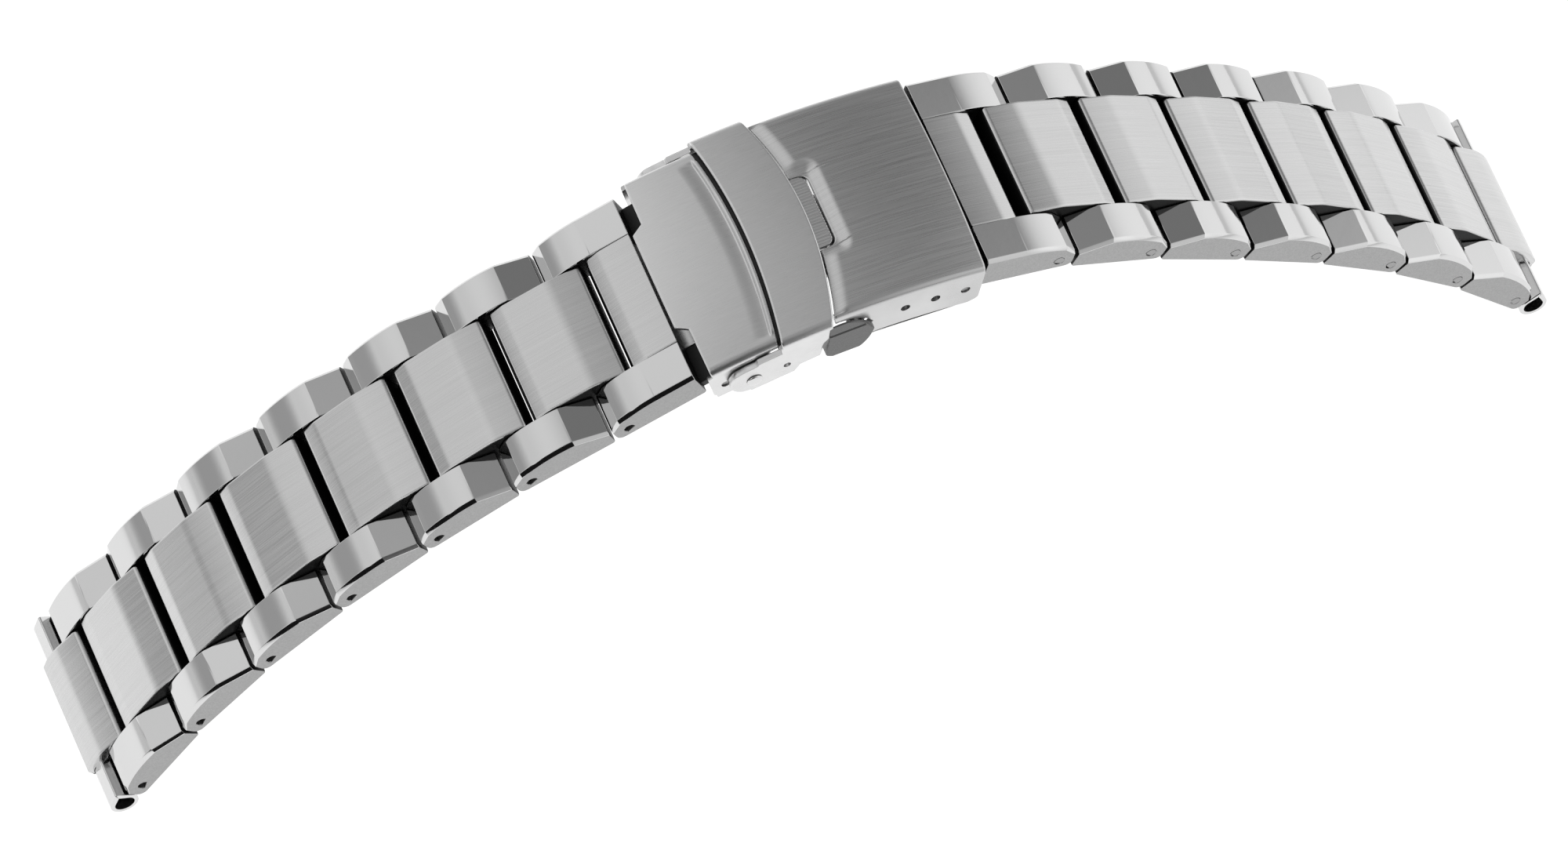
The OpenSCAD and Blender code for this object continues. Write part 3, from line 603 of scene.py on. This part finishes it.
def drop_outline(radius, reach, tip):
    """A circle drawn out to a rounded tip: arc round the back, straight sides to the tip."""
    lean = math.degrees(math.acos((radius - tip) / reach))
    back = np.radians(np.linspace(lean, 360 - lean, 33))
    front = np.radians(np.linspace(-lean, lean, 9))
    points = np.concatenate([circle_points(0, 0, radius, back), circle_points(reach, 0, tip, front)])
    c, s = math.cos(LIP_TURN), math.sin(LIP_TURN)
    turned = points @ np.array([[c, s], [-s, c]])
    return turned + (-TUBE_REACH, TUBE_RISE)


for side in SIDES:
    outside = drop_outline(TUBE_R, LIP_REACH - 0.2, 0.2)
    hollow = drop_outline(TUBE_R - SHEET, LIP_REACH - 0.8, 0.08)
    half = STRAP_W / 2
    ends = [(hollow, half - 0.04), (inset(outside, 0.3), half), (inset(outside, 0.06), half)]
    ends.append((outside, half - 0.06))
    rings = np.stack([ring(o, -y) for o, y in ends] + [ring(o, y) for o, y in reversed(ends)])
    tube = solid(f"{side}_watch_end_tube", rings, end_frame(side), BRIGHT, bored=True)
    dress(tube, f"{side}_watch_end", "bright_sheet", f"{side}_end_tube")
print("tubes", len(SIDES), "of sheet", SHEET, "mm thick")

# %% [markdown]
# ## Clasp sheets
# The cover, the end plate and the safety bar are pressed from sheet about 0.6 mm thick. Each one
# is a strip whose cross-section runs up one wall, round the shoulder, over the crowned top and
# down the other side. All three curve about one axis, 60 mm under the crown, so a point is given
# by its place along the clasp, its place across and its distance from that axis.

# %% Clasp curve
CLASP_R, CLASP_CROWN, COVER_STEP, PLATE_STEP = 60.0, 4.85, 0.2, 0.75
FALL, SHOULDER_R = 0.7, 0.9
COVER_W, ARM_GAP, BAR_T, COVER_T, PLATE_T = 21.3, 0.12, 0.6, 0.65, 0.6
BAR_W = COVER_W + 2 * (ARM_GAP + BAR_T)
AXIS_Z = CLASP_CROWN - CLASP_R
FOOT_ROW = 0.08


def bent(s, y, r):
    """Clasp point for a place s along the clasp at the crown's radius, y across, r from the axis."""
    a = np.arcsin(np.clip(s / CLASP_R, -1, 1))
    return np.stack([r * np.sin(a), y + 0 * a, AXIS_Z + r * np.cos(a)], -1)


def height(s, r):
    """Height of the point that bent gives: the axis plus r times the cosine of its angle."""
    return AXIS_Z + r * np.sqrt(1 - (s / CLASP_R) ** 2)


def section(width, top, foot_r, step=0.12):
    """Cross-section from one wall's foot to the other: places y and radii r, with their normals.
    Walls are upright, shoulders are arcs of SHOULDER_R, and the top is a parabola that falls by
    FALL from its middle to each shoulder."""
    half, edge = width / 2, width / 2 - SHOULDER_R
    r_top = CLASP_R + top - CLASP_CROWN
    wall = np.arange(foot_r + 2 * FOOT_ROW, r_top - FALL - SHOULDER_R, step)
    wall = np.concatenate([[foot_r, foot_r + FOOT_ROW], wall])
    turn = np.radians(np.linspace(0, 84, 15))
    y = np.linspace(-edge, edge, int(2 * edge / step))[1:-1]
    rise = FALL * (1 - (y / edge) ** 2)
    side_y = np.concatenate([half + 0 * wall, edge + SHOULDER_R * np.cos(turn)])
    side_r = np.concatenate([wall, r_top - FALL - SHOULDER_R * (1 - np.sin(turn))])
    y = np.concatenate([-side_y, y, side_y[::-1]])
    r = np.concatenate([side_r, r_top - FALL + rise, side_r[::-1]])
    along = unit(np.stack([np.gradient(y), np.gradient(r)], -1))
    return y, r, -along[:, 1], along[:, 0]


print("cover", COVER_W, "mm wide, safety bar", round(BAR_W, 2), "mm wide")

# %% [markdown]
# A strip is one closed ring per row of its cross-section: along the outer side, round the cut
# edge and back along the inner side. A lift raises or lowers both sides, as a press does. A
# plain surface with a Solidify modifier would be shorter, but its edges would stay sharp.

# %% Strips of sheet
FOOT_DRAW = (0.98, 0.8, 0.98)
CUT_ROUND = 0.06


def sheet(name, path, start, end, thick, material, lift=lambda s, y: 0, rows_s=60, edge=0.12):
    """Strip between two places along the clasp, start and end, which depend on the row. Its outer
    side sinks by edge at both ends, and its inner side lies one thickness below along the normal.
    The rows of the two feet are drawn in by FOOT_DRAW."""
    y, r, ny, nr = (a[:, None] for a in path)
    s0, s1 = start(y, r), end(y, r)
    share = np.linspace(0, 1, rows_s)[None, 1:-1]
    sink = np.array([0, 0.3, 1]) * edge
    s = np.concatenate([s0 + sink, s0 + edge + (s1 - s0 - 2 * edge) * share, s1 - sink[::-1]], 1)
    deep = np.concatenate([sink[::-1], np.zeros(rows_s - 2), sink])[None, :]
    top = bent(s, y - ny * deep, r + nr * (lift(s, y) - deep))
    wide = np.clip((s1 - s0) / 2 - 0.02, 0, edge)
    share = np.linspace(0, 1, rows_s // 3)[None, ::-1]
    s = np.concatenate([s1, s0 + wide + (s1 - s0 - 2 * wide) * share, s0], 1)
    back = np.full(s.shape[1], thick)
    back[[0, -1]] -= CUT_ROUND
    under = bent(s, y - ny * back, r + nr * (lift(s, y) - back))
    rings = np.concatenate([top, under], 1)
    middle = rings.mean(1, keepdims=True)
    rings[[0, -1]] = middle[[0, -1]] + (rings[[0, -1]] - middle[[0, -1]]) * FOOT_DRAW
    return solid(name, rings, clasp_frame, material)


# %% [markdown]
# Edges follow arcs or a wall's own outline. Holes are cut with rods and lenses.

# %% Edges and holes


def soft_step(x):
    """0 below 0, 1 above 1, and 3x^2 - 2x^3 between."""
    x = np.clip(x, 0, 1)
    return x * x * (3 - 2 * x)


def bulged(edge_x, radius, y):
    """Place of a bulged edge: an arc whose rim passes through edge_x on the centre line."""
    return edge_x - radius + np.sqrt(radius ** 2 - y ** 2)


def settle_place(rule, r, tries=4):
    """Place along the clasp where a wall's outline, given as x by height, meets the radius r."""
    s = np.zeros_like(r)
    for _ in range(tries):
        s = rule(height(s, r)) * CLASP_R / r
    return s


def strip_edge(y, r, width, on_walls, on_top):
    """Edge of a strip: the walls' own outline on their upright rows, and the top's elsewhere."""
    return np.where(np.abs(y) > width / 2 - 0.01, settle_place(on_walls, r), on_top)


def cut_out(piece, cutters):
    """Cuts holes, keeps the result as the piece's own mesh, and marks the new sharp edges."""
    piece.modifiers.clear()
    for cutter in cutters:
        modifier = piece.modifiers.new("cut", "BOOLEAN")
        modifier.object = cutter
        modifier.operation = "DIFFERENCE"
        modifier.solver = "EXACT"
    graph = bpy.context.evaluated_depsgraph_get()
    mesh = bpy.data.meshes.new_from_object(piece.evaluated_get(graph))
    piece.modifiers.clear()
    piece.data = mesh
    mesh.shade_smooth()
    mesh.set_sharp_from_angle(angle=SHARP)
    for cutter in cutters:
        bpy.data.objects.remove(cutter)
    weighted(piece)


def rod(name, x, z, radius, y0, y1, material, sides=40):
    """Cylinder across the clasp from y0 to y1: a circle about x, z as its two end rings."""
    loop = circle_points(x, z, radius, np.linspace(0, 2 * math.pi, sides, endpoint=False))
    return solid(name, np.stack([ring(loop, y0), ring(loop, y1)]), clasp_frame, material)


# %% [markdown]
# The safety bar folds over the cover and the end plate. Its band has two bulged edges, and its
# sides run back as arms to the rivets. Each wall row has a start and an end that depend on its
# height, so the arms' outlines come from the same strip.

# %% Safety bar
BAR_LEFT, BAND_W, LEFT_BULGE, RIGHT_BULGE = -6.3, 5.0, 1.15, 1.9
BAR_RIGHT = BAR_LEFT + BAND_W
BAND_TIP = BAR_RIGHT + RIGHT_BULGE
LEFT_R = ((BAR_W / 2) ** 2 + LEFT_BULGE ** 2) / (2 * LEFT_BULGE)
RIGHT_R = ((BAR_W / 2) ** 2 + RIGHT_BULGE ** 2) / (2 * RIGHT_BULGE)
RIVET_X, RIVET_Z = -HALF_SPAN + 2.45, -0.45
ARM_X, ARM_Z, ARM_R, ARM_TOP = RIVET_X - 0.45, -0.2, 1.85, 2.3
BUTTON_X, BUTTON_Z, BUTTON_L, BUTTON_H = -0.45, 0.85, 5.9, 3.6
CLASP_GAP = 0.15
LENS_R = ((BUTTON_L / 2) ** 2 + (BUTTON_H / 2) ** 2) / BUTTON_H
# Heights on the bar's walls and places along the clasp: step above the arm, low edge, opening
STEP_Z, STEP_X = (ARM_Z + ARM_R, 1.75, ARM_TOP), (RIVET_X + 0.35, RIVET_X + 0.4, RIVET_X + 0.9)
LOW_Z, LOW_X = (-2.05, -1.95, -1.55, -0.65, -0.45), (ARM_X, -7.05, -5.2, -4.6, -3.0)
OPEN_Z, OPEN_X = (-1.5, 0.25, 0.55, 1.1, 3.25), (-1.45, -1.05, -0.95, -0.45, -0.15)
WALL_HOLE = (BAR_LEFT + 0.4, 0.05, 0.35)


def lens_half(z, grow=0.0):
    """Half-length of the lens outline at a height; below zero means above or below the lens."""
    off = LENS_R - BUTTON_H / 2 + np.abs(z - BUTTON_Z)
    return np.sqrt(np.maximum((LENS_R + grow) ** 2 - off ** 2, 0))


def arm_start(z):
    """Left edge of the wall at a height: the arm's round end, the step above it, then the band."""
    round_end = ARM_X - np.sqrt(np.maximum(ARM_R ** 2 - (z - ARM_Z) ** 2, 0))
    stepped = np.interp(z, STEP_Z, STEP_X)
    return np.where(z < ARM_Z + ARM_R - 0.02, round_end, np.where(z < ARM_TOP, stepped, BAR_LEFT))


def arm_end(z):
    """Lower edge of the arm, then the edge of the wall's opening beside the push button."""
    opening = BAR_RIGHT + np.interp(z - BUTTON_Z, OPEN_Z, OPEN_X)
    return np.where(z < LOW_Z[-1], np.interp(z, LOW_Z, LOW_X), opening)


def bar_start(y, r):
    """Left edge of the strip: the arm's outline on the walls, and a bulged edge on the top."""
    return strip_edge(y, r, BAR_W, arm_start, bulged(BAR_LEFT + LEFT_BULGE, LEFT_R, y))


def bar_end(y, r):
    """Right edge of the strip: the opening's outline on the walls, a bulged edge on the top."""
    return strip_edge(y, r, BAR_W, arm_end, bulged(BAND_TIP, RIGHT_R, y))


BAR_FOOT = CLASP_R - CLASP_CROWN + ARM_Z - ARM_R + 0.7
bar = sheet("safety_bar_sheet", section(BAR_W, CLASP_CROWN, BAR_FOOT, 0.06), bar_start, bar_end, BAR_T, SATIN)
cutters = [rod("cutter", *WALL_HOLE, turned * (BAR_W / 2 - 1.2), turned * BAR_W, SATIN) for turned in (1, -1)]
cut_out(bar, cutters)
dress(bar, "safety_bar", "satin_steel", "safety_bar")
print("safety bar", len(bar.data.polygons), "faces")

# %% [markdown]
# The finger tongue sits one step lower, in the recess of the cover, with fine serrations that
# give a fingernail its grip. They are only a lift of the sheet, so close rows are enough.

# %% Finger tongue
TONGUE_W, TONGUE_L, RECESS_DEPTH = 7.4, 1.4, 0.7
TONGUE_TIP, TONGUE_ROOT = BAND_TIP + TONGUE_L, BAND_TIP - 1.3
TONGUE_T, TONGUE_CORNER = 0.55, 0.8
TOOTH_STEP, TOOTH_DEPTH = 0.3, 0.05
y = np.linspace(-TONGUE_W / 2, TONGUE_W / 2, 150)
past = np.maximum(np.abs(y) - (TONGUE_W / 2 - TONGUE_CORNER), 0)
tip = TONGUE_TIP - TONGUE_CORNER + np.sqrt(np.maximum(TONGUE_CORNER ** 2 - past ** 2, 0))
path = (y, np.full_like(y, CLASP_R - RECESS_DEPTH), 0 * y, 1 + 0 * y)


def serrations(s, y):
    """Grooves along the tongue: a cosine across it, faded out towards its root and its sides."""
    fade = soft_step((s - BAND_TIP + 1.0) / 0.5) * soft_step((TONGUE_W / 2 - np.abs(y)) / 0.4)
    return -TOOTH_DEPTH * fade * (1 - np.cos(y / TOOTH_STEP * 2 * math.pi)) / 2


tongue = sheet("finger_tongue", path, lambda y, r: 0 * y + TONGUE_ROOT, lambda y, r: tip[:, None] + 0 * r,
               TONGUE_T, COVER_BRUSHED, serrations, rows_s=24, edge=0.1)
dress(tongue, "safety_bar", "satin_steel")
print("serrations", round(TONGUE_W / TOOTH_STEP), "across the tongue")

# %% [markdown]
# The cover is brushed lengthwise. A soft recess is pressed round the tongue, and the edge beside
# the safety bar rolls down under it, so both borders shade gently rather than as a sharp step.
# Three holes in each wall take the spring bar, so the strap can be set longer or shorter.

# %% Cover
WALL_DROP, COVER_TAIL = 1.15, 2.4
COVER_END = HALF_SPAN + COVER_TAIL
NOTCH_W, NOTCH_X, NOTCH_R = TONGUE_W + 2 * CLASP_GAP, TONGUE_TIP + CLASP_GAP, 0.8
FOOT_R = CLASP_R - CLASP_CROWN - WALL_DROP
CORNER_R, CORNER_X, CORNER_Z = 1.9, HALF_SPAN - 0.1, -0.6
ROLL_W, ROLL_SHARE = 1.5, 0.7
PRESS_W, PRESS_DEPTH = 1.45, 0.5
HOLE_RING, HOLE_STEP, HOLE_R = math.hypot(HALF_SPAN, AXIS_Z), 2.9, 0.45


def cover_start(y, r):
    """Left edge: parallel to the safety bar's bulged edge, with a rounded notch for the tongue."""
    edge = bulged(BAND_TIP + CLASP_GAP, RIGHT_R + CLASP_GAP, np.clip(y, -COVER_W / 2, COVER_W / 2))
    past = np.clip(np.abs(y) - (NOTCH_W / 2 - NOTCH_R), 0, NOTCH_R)
    notch = NOTCH_X - NOTCH_R + np.sqrt(NOTCH_R ** 2 - past ** 2)
    return np.where(np.abs(y) < NOTCH_W / 2, notch, edge) + 0 * r


def wall_corner(z):
    """Lower right corner of the wall: a quarter circle below CORNER_Z."""
    return CORNER_X + np.sqrt(np.maximum(CORNER_R ** 2 - np.minimum(z - CORNER_Z, 0) ** 2, 0))


def cover_end(y, r):
    """Right edge: straight across, with the rounded corner where the wall is low."""
    corner = np.minimum(settle_place(wall_corner, r), COVER_END)
    return np.where(height(COVER_END, r) < CORNER_Z + 1, corner, COVER_END)


def cover_lift(s, y):
    """Falls towards the safety bar's edge and into the recess, both over a soft width."""
    edge = bulged(BAND_TIP, RIGHT_R, np.clip(y, -COVER_W / 2, COVER_W / 2))
    rolled = 1 - soft_step((s - edge - 0.1) / ROLL_W)
    outside = np.hypot(np.maximum(s - NOTCH_X, 0), np.maximum(np.abs(y) - NOTCH_W / 2, 0))
    pressed = 1 - soft_step(outside / PRESS_W)
    level = 1 - (1 - ROLL_SHARE * rolled) * (1 - pressed)
    return -PRESS_DEPTH * level * (np.abs(y) < COVER_W / 2 - 0.3)


cover = sheet("cover_sheet", section(COVER_W, CLASP_CROWN - COVER_STEP, FOOT_R, 0.1), cover_start,
              cover_end, COVER_T, COVER_BRUSHED, cover_lift, rows_s=130)
cutters = []
for k in range(3):
    a = math.asin(HALF_SPAN / HOLE_RING) - k * HOLE_STEP / HOLE_RING
    x, z = HOLE_RING * math.sin(a), AXIS_Z + HOLE_RING * math.cos(a)
    cutters += [rod("cutter", x, z, HOLE_R, y0, y0 + 3, COVER_BRUSHED) for y0 in (9, -12)]
z = BUTTON_Z + np.linspace(-1, 1, 25) * (BUTTON_H / 2 + CLASP_GAP)
half = lens_half(z, CLASP_GAP)
lens = np.concatenate([np.stack([BUTTON_X + half, z], -1), np.stack([BUTTON_X - half, z], -1)[::-1][1:-1]])
for y0 in (9.5, -12):
    rings = np.stack([ring(lens, y0), ring(lens, y0 + 2.5)])
    cutters.append(solid("cutter", rings, clasp_frame, COVER_BRUSHED))
cut_out(cover, cutters)
dress(cover, "cover", "brushed_cover", "cover")
print("cover", len(cover.data.polygons), "faces")

# %% [markdown]
# The end plate's tab reaches over the end link between two chamfered notches. Beside the safety
# bar its surface dips and then rises to a thin lip, and a shelf in dark painted shade carries its
# sheet on under the bar, so no light comes through the slit between them.

# %% End plate
TAB_REACH, TAB_W, TAB_STEP, CHAMFER_W = 2.8, 10.1, 1.1, 0.7
LIP_W, LIP_H, DIP_W, DIP_DEPTH = 0.35, 0.4, 1.6, 0.18
TAB_X = -HALF_SPAN - TAB_REACH
PLATE_EDGE = BAR_LEFT + LEFT_BULGE - 0.33
PLATE_SHEET, SHELF_SHEET = 0.5, 0.4
CHEEK_LOW = -PLATE_BAR_DROP - 1.65
CHEEK_FOOT, SHELF_FOOT = 1.1, 1.9


def cheek_start(z):
    """Left edge of the side cheek at a height: straight lines between three places."""
    return np.interp(z, [CHEEK_LOW, CHEEK_LOW + 0.3, 0.9], [TAB_X + 1.9, TAB_X + 1.6, TAB_X + 1.2])


def cheek_end(z):
    """Right edge of the side cheek at a height, in the same way."""
    return np.interp(z, [CHEEK_LOW, CHEEK_LOW + 1.5, 3], [BAR_LEFT - 1.5, BAR_LEFT - 0.8, BAR_LEFT - 0.75])


def plate_start(y, r):
    """Left edge of the strip: the tab, chamfered down to the notches, and the cheeks' edge."""
    chamfer = np.interp(np.abs(y), [TAB_W / 2, TAB_W / 2 + CHAMFER_W], [TAB_X, TAB_X + TAB_STEP])
    return strip_edge(y, r, COVER_W, cheek_start, chamfer)


def plate_end(y, r):
    """Right edge of the strip: bulged like the safety bar's edge, and the cheeks' edge."""
    return strip_edge(y, r, COVER_W, cheek_end, bulged(PLATE_EDGE, LEFT_R, y))


def plate_lift(s, y):
    """Dips towards the lip, and rises to the lip itself beside the safety bar."""
    away = bulged(PLATE_EDGE, LEFT_R, y) - s
    dip = soft_step(1 - (away - 0.5) / DIP_W) * DIP_DEPTH
    lip = (1 - soft_step((away - LIP_W) / 0.2)) * (LIP_H - 0.02)
    flat = soft_step((COVER_W / 2 - 1.0 - np.abs(y)) / 0.5)
    return (lip - dip) * flat


plate_foot = CLASP_R - CLASP_CROWN + CHEEK_LOW + CHEEK_FOOT
plate = sheet("end_plate_sheet", section(COVER_W, CLASP_CROWN - PLATE_STEP, plate_foot, 0.1), plate_start,
              plate_end, PLATE_SHEET, SATIN, plate_lift, rows_s=90)
cutters = [rod("cutter", -HALF_SPAN, -PLATE_BAR_DROP, HOLE_R, y0, y0 + 3, SATIN) for y0 in (9, -12)]
cut_out(plate, cutters)
dress(plate, "end_plate", "satin_steel", "end_plate")
# The shelf's dark steel is painted shade for the slit under the safety bar.
path = section(COVER_W - 0.1, CLASP_CROWN - PLATE_STEP - 0.06, CLASP_R - CLASP_CROWN + SHELF_FOOT)
shelf = sheet("end_plate_shelf", path, lambda y, r: bulged(PLATE_EDGE - 0.12, LEFT_R, y),
              lambda y, r: 0 * y + BAR_RIGHT - 1.0, SHELF_SHEET, PAINTED_SHADE, rows_s=12)
dress(shelf, "end_plate", "satin_steel")
print("end plate", len(plate.data.polygons), "faces")

# %% [markdown]
# ## Push buttons and rivets
# Each button is a lens-shaped pad with a crease: the upper part leans back to the wall and the
# lower part stands out to a rounded rim, where a fingertip finds it.

# %% Push buttons
BUTTON_BACK = COVER_W / 2 + 0.1
STEM_X, STEM_R, STEM_ROOT = BUTTON_X + 1.8, 0.6, 8.3
# Heights from the button's centre, the pad's left end there and how far its front stands out
TRIM_Z, TRIM_X = (-2.1, 0.05, 1.1, 2.2), (-1.3, -0.6, -0.3, -0.1)
FRONT_Z, FRONT_OUT = (-1.8, -1.5, 0.84, 0.90, 0.94, 1.8), (0.8, 1.05, 0.5, 0.3, 0.42, 0.1)
RIM = 0.12


def button_rings(turned):
    """Rows of the pad from its lower tip to its upper one, each closed across its flat back. The
    rim falls back along a quarter circle of radius RIM."""
    rise = BUTTON_H / 2 * np.sin(np.linspace(-0.985, 0.985, 61) * math.pi / 2)[:, None]
    cut = BAR_RIGHT + np.interp(rise, TRIM_Z, TRIM_X)
    x1 = BUTTON_X + lens_half(BUTTON_Z + rise)
    x0 = np.minimum(np.maximum(BUTTON_X - lens_half(BUTTON_Z + rise), cut), x1 - 0.02)
    share = (1 + np.sin(np.linspace(-1, 1, 49) * math.pi / 2)) / 2
    x = x0 + (x1 - x0) * share
    out = np.interp(rise, FRONT_Z, FRONT_OUT)
    rim = np.minimum(np.minimum(x - x0, x1 - x), BUTTON_H / 2 - np.abs(rise)) / RIM
    out = np.maximum(out - RIM * (1 - np.sqrt(1 - (1 - np.clip(rim, 0, 1)) ** 2)), 0.02)
    front = np.stack([x, turned * (BUTTON_BACK + out), BUTTON_Z + rise + 0 * x], -1)
    back = front[:, [-1, 0]].copy()
    back[..., 1] = turned * BUTTON_BACK
    return np.concatenate([front, back], 1)


for name, turned in (("near", -1), ("far", 1)):
    pad = solid(f"push_button_{name}", button_rings(turned), clasp_frame, PAD)
    dress(pad, f"button_{name}", "bright_trim", f"button_{name}")
    stem = rod(f"button_stem_{name}", STEM_X, BUTTON_Z, STEM_R, turned * STEM_ROOT,
               turned * (BUTTON_BACK + 0.05), WIRE)
    dress(stem, f"button_{name}", "bright_trim")
print("push buttons", BUTTON_L, "by", BUTTON_H, "mm")

# %% [markdown]
# The rivets have domed heads outside and flat ones inside, and are turned on a lathe, so a
# profile turned about one axis gives their shape.

# %% Rivets
RIVET_R, HEAD_R, HEAD_H, FLAT_H = 0.5, 0.75, 0.31, 0.24
HEAD_Y, INSIDE_Y = BAR_W / 2 + 0.06, COVER_W / 2 - PLATE_T - 0.25


def turned_part(name, profile, x, z, turned, material, sides=48):
    """Turns a profile of radius and place across about an axis through x, z."""
    radius, across = np.array(profile, float).T[..., None]
    angle = np.linspace(0, 2 * math.pi, sides, endpoint=False)
    rings = np.insert(circle_points(x, z, radius, angle), 1, turned * across + 0 * angle, axis=-1)
    return solid(name, rings, clasp_frame, material)


dome = [(HEAD_R * math.cos(a), HEAD_Y + HEAD_H * 0.8 * math.sin(a))
        for a in np.radians(np.linspace(0, 84, 10))]
profile = [(0.05, INSIDE_Y), (HEAD_R, INSIDE_Y), (HEAD_R, INSIDE_Y + FLAT_H),
           (RIVET_R, INSIDE_Y + 0.25), (RIVET_R, HEAD_Y - 0.02), (HEAD_R - 0.03, HEAD_Y - 0.01)] + dome
for name, turned, nodes in (("far", 1, ["rivets"]), ("near", -1, [])):
    rivet = turned_part(f"rivet_{name}", profile, RIVET_X, RIVET_Z, turned, BRIGHT)
    dress(rivet, "end_plate", "bright_trim", *nodes)
print("rivet heads", 2 * HEAD_R, "mm across")

# %% [markdown]
# ## Finishes for the remaining pieces
# Pins, springs and blades keep the construction model's own meshes, which are true cylinders and
# curved strips already, and get their finishes here. The blades' steel is darkened as painted
# shade, since they lie in the clasp's shade.

# %% Remaining finishes
for name, piece in frame["nodes"].items():
    # Blades get steel darkened as painted shade; pins and springs get drawn wire.
    plain = SHADED_BLADE if "blade" in name else WIRE
    if not piece.data.materials:
        piece.data.materials.append(plain)
    for slot in piece.material_slots:
        slot.material = plain
print("nodes with plain finishes", len(frame["nodes"]))

# %% [markdown]
# ## Studio
# Polished steel shows its surroundings, so the room is the light. The table is white and gives
# off light of its own, brightest near the bracelet and weaker further out, which the camera and
# the steel see in the same way. Scattered light meets plain paper instead, so the glow shows
# only to the eye and in the steel. Lengths are in metres again from here.

# %% Table


def seen_directly(tree):
    """1 for rays from the camera, from a mirror or through glass, and 0 for all others."""
    rays = node(tree, "ShaderNodeLightPath").outputs
    first = node(tree, "ShaderNodeMath", operation="ADD",
                 links={0: rays["Is Camera Ray"], 1: rays["Is Glossy Ray"]})
    both = node(tree, "ShaderNodeMath", operation="ADD", use_clamp=True,
                links={0: first.outputs[0], 1: rays["Is Transmission Ray"]})
    return both.outputs[0]


FLOOR_GLOW, FAR_GLOW = 0.85, 0.50
LIT_RADIUS, FAR_RADIUS, TABLE_HALF = 0.10, 0.50, 3.0
material, tree = new_material("white_table")
paper = node(tree, "ShaderNodeBsdfDiffuse", Color=linear("#B4B4B4"))
away = node(tree, "ShaderNodeVectorMath", operation="LENGTH",
            links={0: node(tree, "ShaderNodeTexCoord").outputs["Object"]})
pool = node(tree, "ShaderNodeMapRange", links={"Value": away.outputs["Value"]},
            interpolation_type="SMOOTHSTEP",
            From_Min=LIT_RADIUS, From_Max=FAR_RADIUS, To_Min=FLOOR_GLOW, To_Max=FAR_GLOW)
glow = node(tree, "ShaderNodeEmission", links={"Strength": pool.outputs[0]}, Color=linear("#FFFFFF"))
lit = node(tree, "ShaderNodeAddShader", links={0: paper.outputs[0], 1: glow.outputs[0]})
mixed = node(tree, "ShaderNodeMixShader",
             links={0: seen_directly(tree), 1: paper.outputs[0], 2: lit.outputs[0]})
close_material(tree, mixed)
corners = np.array([(-1, -1, 0), (1, -1, 0), (1, 1, 0), (-1, 1, 0)]) * TABLE_HALF
floor_mesh = bpy.data.meshes.new("floor")
floor_mesh.from_pydata(corners.tolist(), [], [(0, 1, 2, 3)])
floor_mesh.materials.append(material)
floor = add_object("floor", floor_mesh)

# %% [markdown]
# The room has a grey ceiling and large soft panels that stand round the bracelet. Each panel
# fades from its core to its reach, which are angles in degrees from its middle. A panel with a
# negative strength is a dark part of the room: the frame at the left, a gap in the ceiling and
# the space behind the camera. Azimuth 0 is the back here.

# %% Room
CEILING = 0.34
# Name, azimuth, elevation, core, reach and strength
PANELS = (
    ("left", -58, 24, 8, 52, 0.44),
    ("left_frame", -62, 16, 4, 15, -0.36),
    ("right", 92, 7, 22, 58, 0.78),
    ("back", -12, 8, 5, 40, 0.25),
    ("above_left", -30, 62, 4, 34, 0.16),
    ("above_right", 36, 52, 4, 26, -0.12),
    ("front_right", 152, 22, 5, 34, 0.45),
    ("behind_camera", -150, 10, 28, 60, -0.33),
)
world = bpy.data.worlds.new("studio")
bpy.context.scene.world = world
world.use_nodes = True
tree = world.node_tree
tree.nodes.clear()
ray = node(tree, "ShaderNodeTexCoord").outputs["Generated"]
total = node(tree, "ShaderNodeValue")
total.outputs[0].default_value = CEILING
total = total.outputs[0]
for name, azimuth, elevation, core, reach, strength in PANELS:
    a, e = math.radians(azimuth), math.radians(elevation)
    aim = node(tree, "ShaderNodeVectorMath", links={0: ray}, operation="DOT_PRODUCT", label=name)
    aim.inputs[1].default_value = (math.cos(e) * math.sin(a), math.cos(e) * math.cos(a), math.sin(e))
    glow = node(tree, "ShaderNodeMapRange", links={"Value": aim.outputs["Value"]},
                interpolation_type="SMOOTHSTEP",
                From_Min=math.cos(math.radians(reach)), From_Max=math.cos(math.radians(core)),
                To_Min=0.0, To_Max=strength)
    added = node(tree, "ShaderNodeMath", links={0: total, 1: glow.outputs[0]}, operation="ADD")
    total = added.outputs[0]
sky = node(tree, "ShaderNodeBackground", links={"Strength": total}, Color=linear("#FFFFFF"))
node(tree, "ShaderNodeOutputWorld", links={"Surface": sky.outputs[0]})
print("panels", [panel[0] for panel in PANELS])

# %% [markdown]
# One large soft lamp over the left shoulder gives the steel its highlights.

# %% Lamp
KEY_AZIMUTH, KEY_ELEVATION, KEY_DISTANCE = -60, 40, 1.2
KEY_SIZE, KEY_RADIANCE = 0.7, 0.8
data = bpy.data.lights.new("key_softbox", "AREA")
data.shape = "SQUARE"
data.size = KEY_SIZE
# A flat lamp shines with radiance * pi * area
data.energy = KEY_RADIANCE * math.pi * KEY_SIZE * KEY_SIZE
lamp = add_object("key_softbox", data)
lamp.location = AIM + direction(KEY_AZIMUTH, KEY_ELEVATION) * KEY_DISTANCE
lamp.rotation_euler = (math.radians(90 - KEY_ELEVATION), 0, math.radians(KEY_AZIMUTH))
print("lamp power in watts", round(data.energy, 2))
